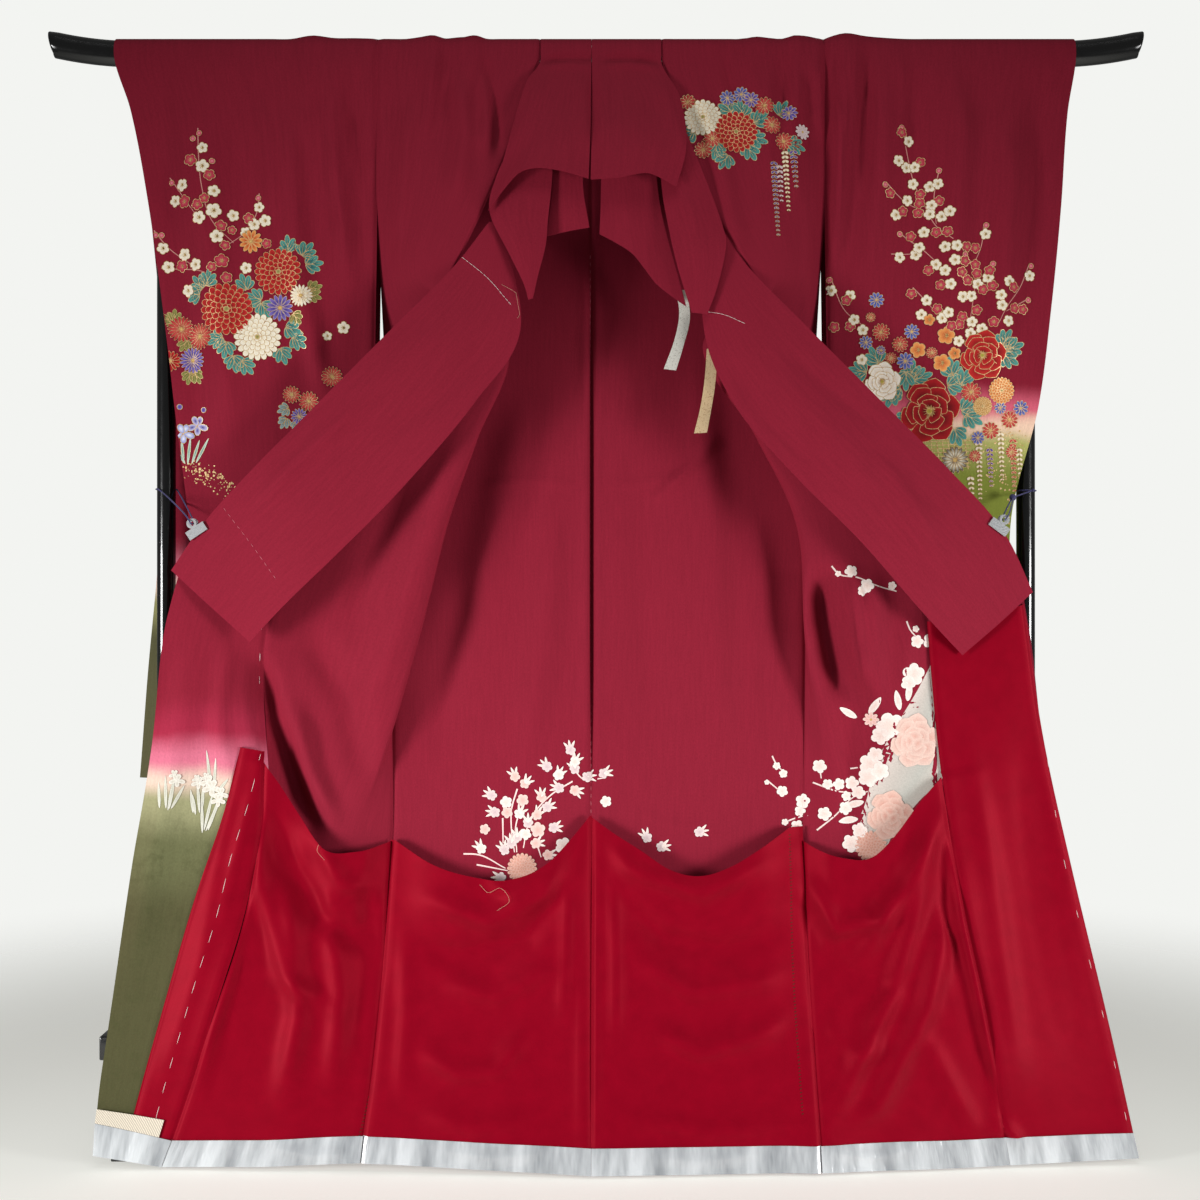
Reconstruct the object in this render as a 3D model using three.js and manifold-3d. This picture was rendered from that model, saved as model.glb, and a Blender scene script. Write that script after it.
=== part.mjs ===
// Furisode kimono opened out on its lacquered display stand.
// Millimetres, +Z up. The opened front faces -Y and X runs to the viewer's right.
// The shapes are drawn from the plane of the rail and moved over the origin at the end.
import * as THREE from 'three';
import { mergeVertices } from 'three/addons/utils/BufferGeometryUtils.js';
import Module from 'manifold-3d';

const wasm = await Module();
wasm.setup();

// ---- driving sizes ------------------------------------------------------------------------

const CLOTH = 2; // wall of one layer of crepe with its seam turnings
const SEAM = 0.3; // gap between two pieces that are sewn together
const LAYER = CLOTH + SEAM; // from one layer's middle to the next one's, face to face

const RAIL = { radius: 18, height: 1545, straight: 650, reach: 772, rise: 14, lean: 0.22, sides: 16 };
const POST = { radius: 13, x: 610, sides: 16 };
const FOOT = { width: 110, depth: 170, height: 42, slope: 22 };
const LOW_RAIL = { reach: 700, depth: 40, bottom: 121, top: 155 };

const WRAP = RAIL.radius + CLOTH / 2 + 1.5; // radius of a layer's middle round the rail
const WRAP_ANGLES = [90, 60, 30, 0]; // round the rail, from its top to its side

const CENTRE_X = -6; // centre back seam
const ARMHOLE_LEFT = -308; // seam between the body and the left sleeve
const ARMHOLE_RIGHT = 322;

// ---- finishes -----------------------------------------------------------------------------

const finish = (color, roughness, metalness = 0) =>
  new THREE.MeshStandardMaterial({ color, roughness, metalness });
const CREPE = finish('#8a2433', 0.75);
const LINING = finish('#990e22', 0.5);
const SATIN = finish('#c4c5c6', 0.35);
const COTTON = finish('#ece4d4', 0.85);
const LACQUER = finish('#0b0b0c', 0.15);
const STEEL = finish('#c9ccd0', 0.25, 1);
const CORD = finish('#33306e', 0.6);
const SILVER_RIBBON = finish('#cfc9bd', 0.45);
const GOLD_RIBBON = finish('#c99b6c', 0.45);

// ---- cloth walls --------------------------------------------------------------------------

const vector = ([x, y, z]) => new THREE.Vector3(x, y, z);
const radians = THREE.MathUtils.degToRad;
const { lerp } = THREE.MathUtils;

/** A point of a layer that lies round the rail: 90 degrees is the rail's top. */
function overRail(x, degrees, side) {
  const atTop = degrees === 90;
  const y = atTop ? SEAM / 2 : WRAP * Math.cos(radians(degrees));
  return [x, side * y, RAIL.height + WRAP * Math.sin(radians(degrees))];
}

/** The sections of a layer from the rail's top down to its front (side -1) or back (side 1). */
const wrapSections = (xs, side) =>
  WRAP_ANGLES.map((degrees) => xs.map((x) => overRail(x, degrees, side)));

/** One section made finer: a smooth curve through its points, with parts steps in each span. */
function smoothSection(points, parts) {
  const curve = new THREE.CatmullRomCurve3(points.map(vector), false, 'catmullrom', 0.5);
  return curve.getPoints((points.length - 1) * parts);
}

/** Directions square to a grid of points, towards the viewer on a hanging layer. */
function gridNormals(grid, squareTop) {
  const rows = grid.length;
  const columns = grid[0].length;
  return grid.map((row, r) => row.map((_, c) => {
    const down = grid[Math.min(r + 1, rows - 1)][c].clone().sub(grid[Math.max(r - 1, 0)][c]);
    const across = row[Math.min(c + 1, columns - 1)].clone().sub(row[Math.max(c - 1, 0)]);
    const normal = down.cross(across).normalize();
    if (c === 0 || c === columns - 1) normal.x = 0; // a seam's edge is square to X
    if (squareTop && r === 0) normal.y = 0; // and one on the rail's top is square to Y
    return normal.normalize();
  }));
}

const bump = (distance) => Math.exp(-distance * distance);

/** How far the folds push a point out: each fold runs down the cloth and fades below its end. */
function foldDepth(folds, point) {
  return folds.reduce((sum, fold) => {
    const below = Math.max(0, fold.top - point.z);
    const fade = Math.max(0, 1 - below / fold.length);
    const above = Math.max(0, point.z - fold.top) / 40;
    const offset = (point.x - fold.x - fold.drift * below / 1000) / fold.width;
    return sum + fold.depth * fade * bump(offset) * bump(above);
  }, 0);
}

/** A grid moved out along its normals by an amount for each point. */
function movedOut(grid, squareTop, amount) {
  const normals = gridNormals(grid, squareTop);
  return grid.map((row, r) => row.map((point, c) =>
    point.clone().addScaledVector(normals[r][c], amount(point, r, c))));
}

/**
 * The middle surface of a layer: sections made finer across, then pushed out into folds.
 * side is -1 in front of the rail and 1 behind it, and a fold's depth is away from the rail.
 */
function layer(sections, { parts = 3, folds = [], side = -1, squareTop = false } = {}) {
  const grid = sections.map((section) => smoothSection(section, parts));
  return movedOut(grid, squareTop, (point) => -side * foldDepth(folds, point));
}

/** A closed wall of one layer of cloth round its middle surface. */
function clothWall(grid, { thickness = CLOTH, squareTop = false } = {}) {
  const rows = grid.length;
  const columns = grid[0].length;
  const normals = gridNormals(grid, squareTop);
  const positions = [];
  for (const face of [1, -1]) {
    grid.forEach((row, r) => row.forEach((point, c) => {
      const moved = point.clone().addScaledVector(normals[r][c], face * thickness / 2);
      positions.push(moved.x, moved.y, moved.z);
    }));
  }
  const front = (r, c) => r * columns + c;
  const back = (r, c) => rows * columns + front(r, c);
  const triangles = [];
  const quad = (a, b, c, d) => triangles.push(a, b, c, a, c, d);
  for (let r = 0; r < rows - 1; r += 1) {
    for (let c = 0; c < columns - 1; c += 1) {
      quad(front(r, c), front(r + 1, c), front(r + 1, c + 1), front(r, c + 1));
      triangles.push(back(r, c), back(r + 1, c + 1), back(r + 1, c));
      triangles.push(back(r, c), back(r, c + 1), back(r + 1, c + 1));
    }
  }
  for (let c = 0; c < columns - 1; c += 1) {
    quad(front(0, c), front(0, c + 1), back(0, c + 1), back(0, c));
    quad(front(rows - 1, c + 1), front(rows - 1, c), back(rows - 1, c), back(rows - 1, c + 1));
  }
  for (let r = 0; r < rows - 1; r += 1) {
    quad(front(r + 1, 0), front(r, 0), back(r, 0), back(r + 1, 0));
    quad(front(r, columns - 1), front(r + 1, columns - 1), back(r + 1, columns - 1), back(r, columns - 1));
  }
  const geometry = new THREE.BufferGeometry();
  geometry.setAttribute('position', new THREE.Float32BufferAttribute(positions, 3));
  geometry.setIndex(triangles);
  return geometry;
}

// ---- the body's seams ---------------------------------------------------------------------
// Each seam is a column of points that both its pieces use, one for each section of the body
// below the rail: chest, armhole end, bust, waist, hip ... down to the hem tape's top and hem.

/** Moves every point of a column by a step. */
const shifted = (column, dx, dy = 0) => column.map(([x, y, z]) => [x + dx, y + dy, z]);

const CENTRE_BACK = [
  [CENTRE_X, 22, 1460], [CENTRE_X, 20, 1330], [CENTRE_X, 18, 1215], [CENTRE_X, 16, 1095],
  [CENTRE_X, 12, 960], [CENTRE_X, 6, 830], [CENTRE_X, -4, 700], [CENTRE_X, -18, 575],
  [CENTRE_X, -38, 445], [CENTRE_X, -74, 280], [CENTRE_X, -117, 110], [CENTRE_X, -138, 36],
  [CENTRE_X, -147, 2],
];
const SIDE_LEFT = [
  [ARMHOLE_LEFT, 22, 1460], [ARMHOLE_LEFT, 23, 1330], [-304, 21, 1215], [-301, 19, 1095],
  [-298, 14, 960], [-295, 9, 830], [-291, 1, 700], [-288, -10, 575],
  [-285, -26, 445], [-293, -56, 280], [-306, -93, 115], [-314, -112, 45],
  [-317, -119, 11],
];
const SIDE_RIGHT = [
  [ARMHOLE_RIGHT, 22, 1460], [ARMHOLE_RIGHT, 23, 1330], [316, 21, 1215], [312, 19, 1095],
  [306, 14, 960], [301, 9, 830], [297, 1, 700], [294, -10, 575],
  [289, -26, 445], [293, -62, 280], [299, -105, 110], [302, -124, 36],
  [303, -133, 2],
];
const OVERLAP_LEFT = [
  [-100, -40, 1462], [-146, -66, 1334], [-195, -76, 1228], [-262, -74, 1120],
  [-335, -66, 1010], [-400, -54, 890], [-450, -46, 775], [-468, -46, 650],
  [-454, -64, 500], [-478, -80, 355], [-520, -95, 205], [-574, -108, 38],
  [-587, -111, 3],
];
const OVERLAP_RIGHT = [
  [118, -44, 1440], [163, -70, 1305], [212, -78, 1224], [275, -76, 1115],
  [345, -70, 1005], [405, -64, 895], [452, -60, 780], [472, -60, 655],
  [476, -66, 510], [500, -80, 360], [532, -92, 200], [556, -101, 40],
  [562, -103, 3],
];
// Where the collar is sewn on: its throat on the front panel, the rest on the overlap panel.
const COLLAR_SEAM_LEFT = [
  [-195, -79, 1228], [-278, -85, 1143], [-370, -87, 1050], [-462, -80, 959], [-551, -69, 863],
];
const COLLAR_SEAM_RIGHT = [
  [212, -81, 1224], [298, -87, 1135], [390, -90, 1042], [482, -84, 951], [566, -74, 856],
];
const OVERLAP_START = 3; // first body section that the overlap panels reach

/** Sections of a body panel from columns of points, with its part round the rail before them. */
const bodySections = (xs, side, columns) => [
  ...wrapSections(xs, side),
  ...columns[0].map((_, row) => columns.map((column) => column[row])),
];

// ---- back panels --------------------------------------------------------------------------

// Gathers of the shoulders on the rail, which run over from the fronts into the backs.
const SHOULDER_FOLDS = [
  { x: -236, width: 15, depth: 6, top: 1566, length: 360, drift: 20 },
  { x: -178, width: 13, depth: 6, top: 1566, length: 260, drift: -40 },
  { x: 232, width: 13, depth: 4, top: 1566, length: 220, drift: 30 },
  { x: 288, width: 14, depth: 6, top: 1566, length: 300, drift: -20 },
];
// Soft hollows down the backs, pushed towards the open front.
const BACK_FOLDS = [
  ...SHOULDER_FOLDS,
  { x: -60, width: 34, depth: -9, top: 1000, length: 620, drift: -60 },
  { x: 132, width: 36, depth: -10, top: 1020, length: 640, drift: 30 },
];

/** Points midway between two columns, set back by a bow that differs from section to section. */
const midway = (left, right, bows) => left.map(([x, y, z], row) => {
  const other = right[row];
  return [(x + other[0]) / 2, (y + other[1]) / 2 + bows[row], (z + other[2]) / 2];
});

const BACK_BOW = [4, 6, 6, 7, 8, 6, 5, 2, 0, -2, -2, -1, 0];

const backLeft = layer(
  bodySections([ARMHOLE_LEFT, -157, CENTRE_X - SEAM / 2], 1, [
    SIDE_LEFT,
    midway(SIDE_LEFT, CENTRE_BACK, BACK_BOW),
    shifted(CENTRE_BACK, -SEAM / 2),
  ]),
  { parts: 5, folds: BACK_FOLDS, side: 1, squareTop: true },
);
const backRight = layer(
  bodySections([CENTRE_X + SEAM / 2, 158, ARMHOLE_RIGHT], 1, [
    shifted(CENTRE_BACK, SEAM / 2),
    midway(CENTRE_BACK, SIDE_RIGHT, BACK_BOW),
    SIDE_RIGHT,
  ]),
  { parts: 5, folds: BACK_FOLDS, side: 1, squareTop: true },
);

// ---- front panels -------------------------------------------------------------------------
// Each front hangs over the rail, rolls outwards below the collar and hangs open beside the
// back. Its columns are the side seam, the pleat beside it, the roll, the hollow behind the
// overlap, and the overlap seam.

const FRONT_JOIN = 3; // body section from which the front is sewn to the back

/** A front's side column: free in front of the rail, then sewn on in front of the back. */
const frontSide = (side, free, outward) => side.map(([x, y, z], row) =>
  row < FRONT_JOIN ? free[row] : [x + outward * SEAM, y - LAYER - SEAM, z]);

const FRONT_LEFT = {
  side: frontSide(SIDE_LEFT, [
    [ARMHOLE_LEFT, -22, 1460], [ARMHOLE_LEFT, -23, 1330], [-304, -10, 1215],
  ], -1),
  pleat: [
    [-256, -29, 1460], [-268, -40, 1330], [-276, -38, 1215], [-215, -25, 1108],
    [-235, -20, 975], [-258, -13, 850], [-274, -16, 715], [-289, -24, 578],
    [-318, -38, 446], [-340, -66, 290], [-360, -97, 135], [-378, -113, 43],
    [-384, -118, 8],
  ],
  roll: [
    [-204, -33, 1460], [-226, -54, 1328], [-246, -58, 1212], [-125, -58, 1130],
    [-165, -58, 990], [-206, -50, 878], [-248, -42, 728], [-300, -36, 578],
    [-352, -46, 450], [-385, -71, 300], [-412, -97, 155], [-443, -112, 40],
    [-452, -116, 5],
  ],
  hollow: [
    [-152, -36, 1461], [-186, -62, 1330], [-226, -68, 1216], [-205, -72, 1128],
    [-272, -70, 1000], [-330, -54, 872], [-378, -32, 730], [-400, -28, 590],
    [-405, -48, 460], [-430, -75, 320], [-464, -96, 180], [-508, -110, 39],
    [-519, -113, 4],
  ],
  seam: OVERLAP_LEFT,
};
const FRONT_RIGHT = {
  side: frontSide(SIDE_RIGHT, [
    [ARMHOLE_RIGHT, -22, 1460], [ARMHOLE_RIGHT, -23, 1330], [316, -10, 1215],
  ], 1),
  pleat: [
    [272, -30, 1458], [284, -42, 1328], [290, -40, 1215], [228, -25, 1108],
    [262, -18, 975], [291, -13, 850], [297, -16, 706], [306, -24, 576],
    [322, -38, 446], [338, -68, 290], [352, -104, 125], [364, -119, 37],
    [367, -127, 2],
  ],
  roll: [
    [222, -36, 1454], [244, -56, 1324], [262, -60, 1214], [150, -58, 1130],
    [222, -54, 1000], [285, -46, 880], [300, -38, 712], [330, -36, 576],
    [360, -46, 450], [388, -74, 302], [410, -103, 145], [428, -114, 38],
    [432, -120, 2],
  ],
  hollow: [
    [170, -40, 1448], [202, -64, 1316], [242, -71, 1218], [222, -74, 1124],
    [298, -72, 1000], [348, -58, 868], [378, -44, 728], [398, -42, 590],
    [412, -54, 460], [442, -78, 320], [468, -99, 170], [491, -108, 38],
    [497, -112, 2],
  ],
  seam: OVERLAP_RIGHT,
};

const frontLeft = layer(
  bodySections([ARMHOLE_LEFT, -250, -192, -135, -78], -1, [
    FRONT_LEFT.side, FRONT_LEFT.pleat, FRONT_LEFT.roll, FRONT_LEFT.hollow,
    shifted(FRONT_LEFT.seam, SEAM / 2),
  ]),
  { parts: 3, folds: SHOULDER_FOLDS, squareTop: true },
);
const frontRight = layer(
  bodySections([92, 150, 207, 264, ARMHOLE_RIGHT], -1, [
    shifted(FRONT_RIGHT.seam, -SEAM / 2),
    FRONT_RIGHT.hollow, FRONT_RIGHT.roll, FRONT_RIGHT.pleat, FRONT_RIGHT.side,
  ]),
  { parts: 3, folds: SHOULDER_FOLDS, squareTop: true },
);

// ---- overlap panels (okumi) ---------------------------------------------------------------
// From the overlap seam to the collar, and below the collar's end to the free front edge.

const FREE_EDGE_LEFT = [
  [-592, -61, 750], [-615, -66, 560], [-641, -76, 380], [-665, -92, 190],
  [-679, -103, 60], [-681, -106, 17],
];
const FREE_EDGE_RIGHT = [
  [598, -61, 735], [618, -63, 580], [655, -70, 400], [700, -80, 205],
  [734, -88, 42], [741, -90, 8],
];

/** Sections of an overlap panel, the seam's column next to the outer edge's. */
function overlapSections(seam, collarSeam, freeEdge, outerFirst) {
  const outer = [...shifted(collarSeam.slice(1), 0, LAYER + 0.2), ...freeEdge];
  return seam.slice(OVERLAP_START).map((inner, row) => {
    const edge = outer[row];
    const middle = [0, 1, 2].map((axis) => (inner[axis] + edge[axis]) / 2);
    return outerFirst ? [edge, middle, inner] : [inner, middle, edge];
  });
}

const okumiLeft = layer(
  overlapSections(shifted(OVERLAP_LEFT, -SEAM / 2), COLLAR_SEAM_LEFT, FREE_EDGE_LEFT, true),
  { parts: 3 },
);
const okumiRight = layer(
  overlapSections(shifted(OVERLAP_RIGHT, SEAM / 2), COLLAR_SEAM_RIGHT, FREE_EDGE_RIGHT, false),
  { parts: 3 },
);

// ---- sleeves ------------------------------------------------------------------------------
// Each sleeve is a long strip over the rail, in front and behind, open down its outer side.

const SLEEVE_FOLDS = [
  { x: -392, width: 13, depth: 8, top: 1566, length: 620, drift: 60 },
  { x: -354, width: 12, depth: 5, top: 1566, length: 500, drift: 30 },
  { x: -560, width: 40, depth: 6, top: 1400, length: 760, drift: 70 },
  { x: -455, width: 34, depth: 5, top: 1300, length: 700, drift: -20 },
  { x: 352, width: 13, depth: 8, top: 1566, length: 640, drift: 30 },
  { x: 392, width: 16, depth: 6, top: 1566, length: 700, drift: 80 },
  { x: 470, width: 34, depth: 5, top: 1400, length: 800, drift: 20 },
  { x: 575, width: 36, depth: 6, top: 1350, length: 760, drift: -70 },
];
const SLEEVE_LEFT_FRONT = [
  [[-655, -22, 1460], [-483, -25, 1460], [ARMHOLE_LEFT, -22, 1460]],
  [[-630, -24, 1330], [-470, -28, 1330], [ARMHOLE_LEFT, -23, 1330]],
  [[-609, -25, 1180], [-460, -30, 1180], [-310, -24, 1180]],
  [[-590, -25, 1020], [-450, -28, 1015], [-313, -22, 1010]],
  [[-573, -22, 880], [-445, -20, 875], [-317, -16, 870]],
  [[-561, -16, 700], [-440, -12, 695], [-321, -6, 690]],
  [[-553, -14, 504], [-438, -7, 502], [-324, -4, 500]],
];
const SLEEVE_RIGHT_FRONT = [
  [[ARMHOLE_RIGHT, -22, 1460], [495, -26, 1460], [664, -22, 1458]],
  [[ARMHOLE_RIGHT, -23, 1330], [490, -30, 1330], [654, -25, 1325]],
  [[324, -24, 1180], [484, -31, 1180], [640, -26, 1180]],
  [[327, -22, 1040], [476, -29, 1040], [622, -25, 1045]],
  [[331, -16, 880], [466, -21, 882], [584, -22, 885]],
  [[334, -6, 700], [462, -12, 702], [588, -17, 705]],
  [[338, -4, 500], [462, -7, 502], [584, -14, 504]],
];
const SLEEVE_LEFT_BACK = [
  [[-655, 22, 1460], [-483, 25, 1460], [ARMHOLE_LEFT, 22, 1460]],
  [[-640, 25, 1330], [-475, 29, 1330], [ARMHOLE_LEFT, 23, 1330]],
  [[-622, 28, 1100], [-466, 33, 1100], [-311, 25, 1100]],
  [[-630, 32, 830], [-470, 35, 830], [-315, 24, 830]],
  [[-648, 36, 640], [-480, 34, 640], [-320, 22, 640]],
  [[-658, 38, 514], [-486, 33, 507], [-324, 21, 503]],
];
const SLEEVE_RIGHT_BACK = [
  [[ARMHOLE_RIGHT, 22, 1460], [495, 25, 1460], [662, 22, 1460]],
  [[ARMHOLE_RIGHT, 23, 1330], [488, 29, 1330], [650, 25, 1330]],
  [[325, 25, 1100], [474, 33, 1100], [626, 28, 1100]],
  [[330, 24, 880], [460, 35, 880], [588, 31, 880]],
  [[335, 22, 680], [458, 34, 680], [584, 34, 680]],
  [[339, 21, 503], [460, 33, 503], [582, 34, 505]],
];
const SLEEVE_LEFT_XS = [-679, -494, ARMHOLE_LEFT];
const SLEEVE_RIGHT_XS = [ARMHOLE_RIGHT, 500, 676];

/** A sleeve's length on one side of the rail, its armhole edge a seam away from the body's. */
function sleeve(xs, side, hanging, outward) {
  const sections = [...wrapSections(xs, side), ...hanging];
  const seamColumn = outward < 0 ? xs.length - 1 : 0;
  const apart = sections.map((section) => section.map(([x, y, z], column) =>
    column === seamColumn ? [x + outward * SEAM, y, z] : [x, y, z]));
  return layer(apart, { parts: 6, folds: SLEEVE_FOLDS, side, squareTop: true });
}

// ---- collar -------------------------------------------------------------------------------
// The wide collar lies open. At the nape it folds forward over the rail in two flaps, at the
// throat it turns over, and from there a band falls along each front to the collar's end.

const NAPE_LEFT = [
  ...wrapSections([-77.7, -54, -30, CENTRE_X - SEAM / 2], -1),
  [[-77.7, -25, 1531], [-54, -25, 1532], [-30, -25, 1532], [CENTRE_X - SEAM, -25, 1530]],
  [[-97, -40, 1493], [-68, -44, 1486], [-38, -47, 1478], [-7, -47, 1470]],
  [[-125, -70, 1385], [-88, -74, 1405], [-48, -76, 1410], [-8, -72, 1405]],
  [[-147, -87, 1303], [-104, -93, 1354], [-58, -93, 1358], [-10, -88, 1346]],
];
const NAPE_RIGHT = [
  ...wrapSections([CENTRE_X + SEAM / 2, 24, 56, 91.7], -1),
  [[CENTRE_X + SEAM, -25, 1530], [24, -25, 1531], [56, -25, 1531], [91.7, -25, 1529]],
  [[-5, -47, 1470], [34, -48, 1474], [75, -46, 1476], [116, -45, 1473]],
  [[-6, -72, 1405], [38, -78, 1408], [82, -79, 1402], [124, -76, 1390]],
  [[-7, -88, 1345], [34, -93, 1347], [72, -94, 1353], [110, -90, 1335]],
];
const THROAT_LEFT = [
  [[-106, -60.2, 1420], [-84, -65, 1422], [-62, -66.2, 1424]],
  [[-138, -69, 1352], [-100, -75, 1354], [-60, -72, 1356]],
  [[-145, -80, 1299], [-107, -86, 1296], [-66, -80, 1290]],
  [[-119, -86, 1245], [-95, -90, 1250], [-69, -84, 1255]],
  [[-97, -92, 1198], [-89, -93, 1204], [-80, -90, 1210]],
  [[-92, -93, 1180], [-89, -94, 1181], [-86, -93, 1182]],
];
const THROAT_RIGHT = [
  [[86, -65.8, 1422], [105, -63.8, 1421], [125, -59, 1418]],
  [[90, -73, 1347], [114, -77, 1352], [138, -67, 1384]],
  [[98, -82, 1290], [136, -88, 1287], [174, -80, 1284]],
  [[108, -90, 1240], [144, -94, 1238], [178, -88, 1254]],
  [[122, -94, 1190], [144, -97, 1190], [164, -93, 1192]],
  [[131, -95, 1162], [142, -96, 1161], [152, -94, 1160]],
];
const INNER_LEFT = [
  [[-62, -47.6, 1470], [-38, -47.9, 1470], [-14, -45.2, 1470]],
  [[-61, -58, 1400], [-38, -61, 1400], [-16, -60, 1400]],
  [[-60, -64, 1345], [-40, -68, 1345], [-18, -66, 1345]],
  [[-68, -66, 1272], [-38, -70, 1278], [-9, -66, 1284]],
];
const INNER_RIGHT = [
  [[3, -44.9, 1470], [30, -47, 1470], [57, -46.7, 1470], [82, -45.8, 1470]],
  [[7, -60, 1400], [33, -64, 1400], [59, -62, 1400], [82, -58, 1400]],
  [[7, -62, 1335], [38, -70, 1330], [66, -66, 1322], [88, -66, 1320]],
  [[5, -66, 1275], [50, -74, 1247], [84, -70, 1205], [124, -84, 1172]],
];
const BAND_END_LEFT = [[-587, -65, 811], [-532, -74, 762], [-477, -73, 712]];
const BAND_END_RIGHT = [[505, -74, 694], [555, -76, 738], [603, -65, 781]];
const BAND_START_LEFT = [[-147, -75, 1290], [-139, -75, 1290], [-131, -74, 1290]];
const BAND_START_RIGHT = [[150, -74, 1290], [158, -75, 1291], [166, -75, 1292]];
// The band's loose edge beside each point of its seam.
const LOOSE_EDGE_LEFT = [
  [-103, -85, 1145], [-165, -93, 1040], [-262, -97, 925], [-350, -93, 836], [-440, -82, 750],
];
const LOOSE_EDGE_RIGHT = [
  [148, -88, 1140], [190, -96, 1035], [270, -101, 940], [365, -98, 845], [452, -86, 748],
];
const BAND_BOW = 4; // how far the band's middle stands proud of its edges

/** Sections of a band between its seam and its loose edge, in order of X. */
const bandSections = (start, seam, loose, end, seamFirst) => [
  start,
  ...seam.map((sewn, row) => {
    const free = loose[row];
    const middle = sewn.map((value, axis) => (value + free[axis]) / 2 - (axis === 1 ? BAND_BOW : 0));
    return seamFirst ? [sewn, middle, free] : [free, middle, sewn];
  }),
  end,
];

const collarPieces = {
  collar_nape_left: layer(NAPE_LEFT, { parts: 2, squareTop: true }),
  collar_nape_right: layer(NAPE_RIGHT, { parts: 2, squareTop: true }),
  collar_throat_left: layer(THROAT_LEFT, { parts: 2 }),
  collar_throat_right: layer(THROAT_RIGHT, { parts: 2 }),
  collar_inner_left: layer(INNER_LEFT, { parts: 2 }),
  collar_inner_right: layer(INNER_RIGHT, { parts: 2 }),
  collar_band_left: layer(
    bandSections(BAND_START_LEFT, COLLAR_SEAM_LEFT, LOOSE_EDGE_LEFT, BAND_END_LEFT, true),
    { parts: 4 },
  ),
  collar_band_right: layer(
    bandSections(BAND_START_RIGHT, COLLAR_SEAM_RIGHT, LOOSE_EDGE_RIGHT, BAND_END_RIGHT, false),
    { parts: 4 },
  ),
};

// ---- linings and hem tape -----------------------------------------------------------------

const FOOT_ROWS = 4; // a panel's sections below the loose part of its lining, hem included
const TAPE_ROWS = 2; // the tape's top and the hem

/** The value at a fraction of the way along a list of numbers. */
function along(values, fraction) {
  const at = fraction * (values.length - 1);
  const low = Math.min(Math.floor(at), values.length - 2);
  return lerp(values[low], values[low + 1], at - low);
}

/** The point of one section at a fraction of the way across it. */
function pointAcross(section, across) {
  const at = across * (section.length - 1);
  const low = Math.min(Math.floor(at), section.length - 2);
  return section[low].clone().lerp(section[low + 1], at - low);
}

/** The point of a panel at a fraction across it and a height. */
function pointAtHeight(panel, across, height) {
  const column = panel.map((section) => pointAcross(section, across));
  const row = column.findIndex((point, r) => r > 0 && point.z < height && column[r - 1].z >= height);
  const [above, below] = [column[row - 1], column[row]];
  return above.clone().lerp(below, (above.z - height) / (above.z - below.z));
}

/**
 * A lining sewn to a panel at the hem and loose at its top edge.
 * tops: heights of the top edge across the panel. slack: how far that edge stands off.
 * face: 1 or -1, the panel's side that it lies on. starts: where it begins across the panel,
 * from its top down to the hem. gap: what it keeps to the panel besides the seam's.
 */
function liningOn(panel, { tops, slack, face = 1, starts = [0, 0], gap = 0, columns = panel[0].length }) {
  const fractions = Array.from({ length: columns }, (_, c) => c / (columns - 1));
  const foot = panel.slice(-FOOT_ROWS);
  const rows = FOOT_ROWS + 2;
  const across = (row, fraction) => lerp(along(starts, row / (rows - 1)), 1, fraction);
  const top = fractions.map((f) => pointAtHeight(panel, across(0, f), along(tops, f)));
  const middle = fractions.map((f, c) => {
    const footPoint = pointAcross(foot[0], across(2, f));
    return pointAtHeight(panel, across(1, f), (top[c].z + footPoint.z) / 2);
  });
  const sewn = foot.map((section, r) => fractions.map((f) => pointAcross(section, across(r + 2, f))));
  const stands = [slack, slack * 0.7, slack * 0.3, 0, 0, 0];
  return movedOut([top, middle, ...sewn], false, (_, r, c) => {
    const inside = Math.min(1, 4 * Math.min(fractions[c], 1 - fractions[c]));
    return face * (LAYER + gap + stands[r] * (0.3 + 0.7 * inside));
  });
}

/** The tape that guards the hem, over the lining. gap: what it keeps to the lining. */
const tapeOn = (panel, face = 1, gap = SEAM) =>
  movedOut(panel.slice(-TAPE_ROWS), false, () => face * (2 * LAYER + gap));

/** The cotton end of the tape, above it at the overlap's free corner. */
function headerOn(panel, { height, columns, gap }) {
  const [above, top] = panel.slice(-TAPE_ROWS - 1);
  const length = above[0].distanceTo(top[0]);
  const rows = [height, SEAM].map((up) =>
    top.slice(0, columns).map((point, c) => point.clone().lerp(above[c], up / length)));
  return movedOut(rows, false, () => 2 * LAYER + gap);
}

const linings = {
  lining_back_left: liningOn(backLeft, { tops: [428, 398, 385, 388, 415, 462], slack: 22 }),
  lining_back_right: liningOn(backRight, { tops: [462, 420, 389, 388, 402, 446], slack: 22 }),
  lining_front_left: liningOn(frontLeft, { tops: [428, 418, 424, 478, 556], slack: 20, face: -1 }),
  lining_front_right: liningOn(frontRight, { tops: [524, 440, 413, 416, 430], slack: 20, face: -1 }),
  lining_okumi_left: liningOn(okumiLeft, {
    tops: [566, 560], slack: 3, starts: [0.78, 0.6, 0.46, 0.42], gap: 0.6, columns: 5,
  }),
  lining_okumi_right: liningOn(okumiRight, { tops: [740, 742, 750, 764], slack: 2, gap: 0.4 }),
};
const TAPE_GAP = 1.3; // on the left overlap, where the lining's facets differ from the panel's
const tapes = {
  tape_okumi_left: tapeOn(okumiLeft, 1, TAPE_GAP),
  tape_front_left: tapeOn(frontLeft, -1),
  tape_back_left: tapeOn(backLeft),
  tape_back_right: tapeOn(backRight),
  tape_front_right: tapeOn(frontRight, -1),
  tape_okumi_right: tapeOn(okumiRight),
};

// ---- ribbons on the collar's inside -------------------------------------------------------

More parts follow.
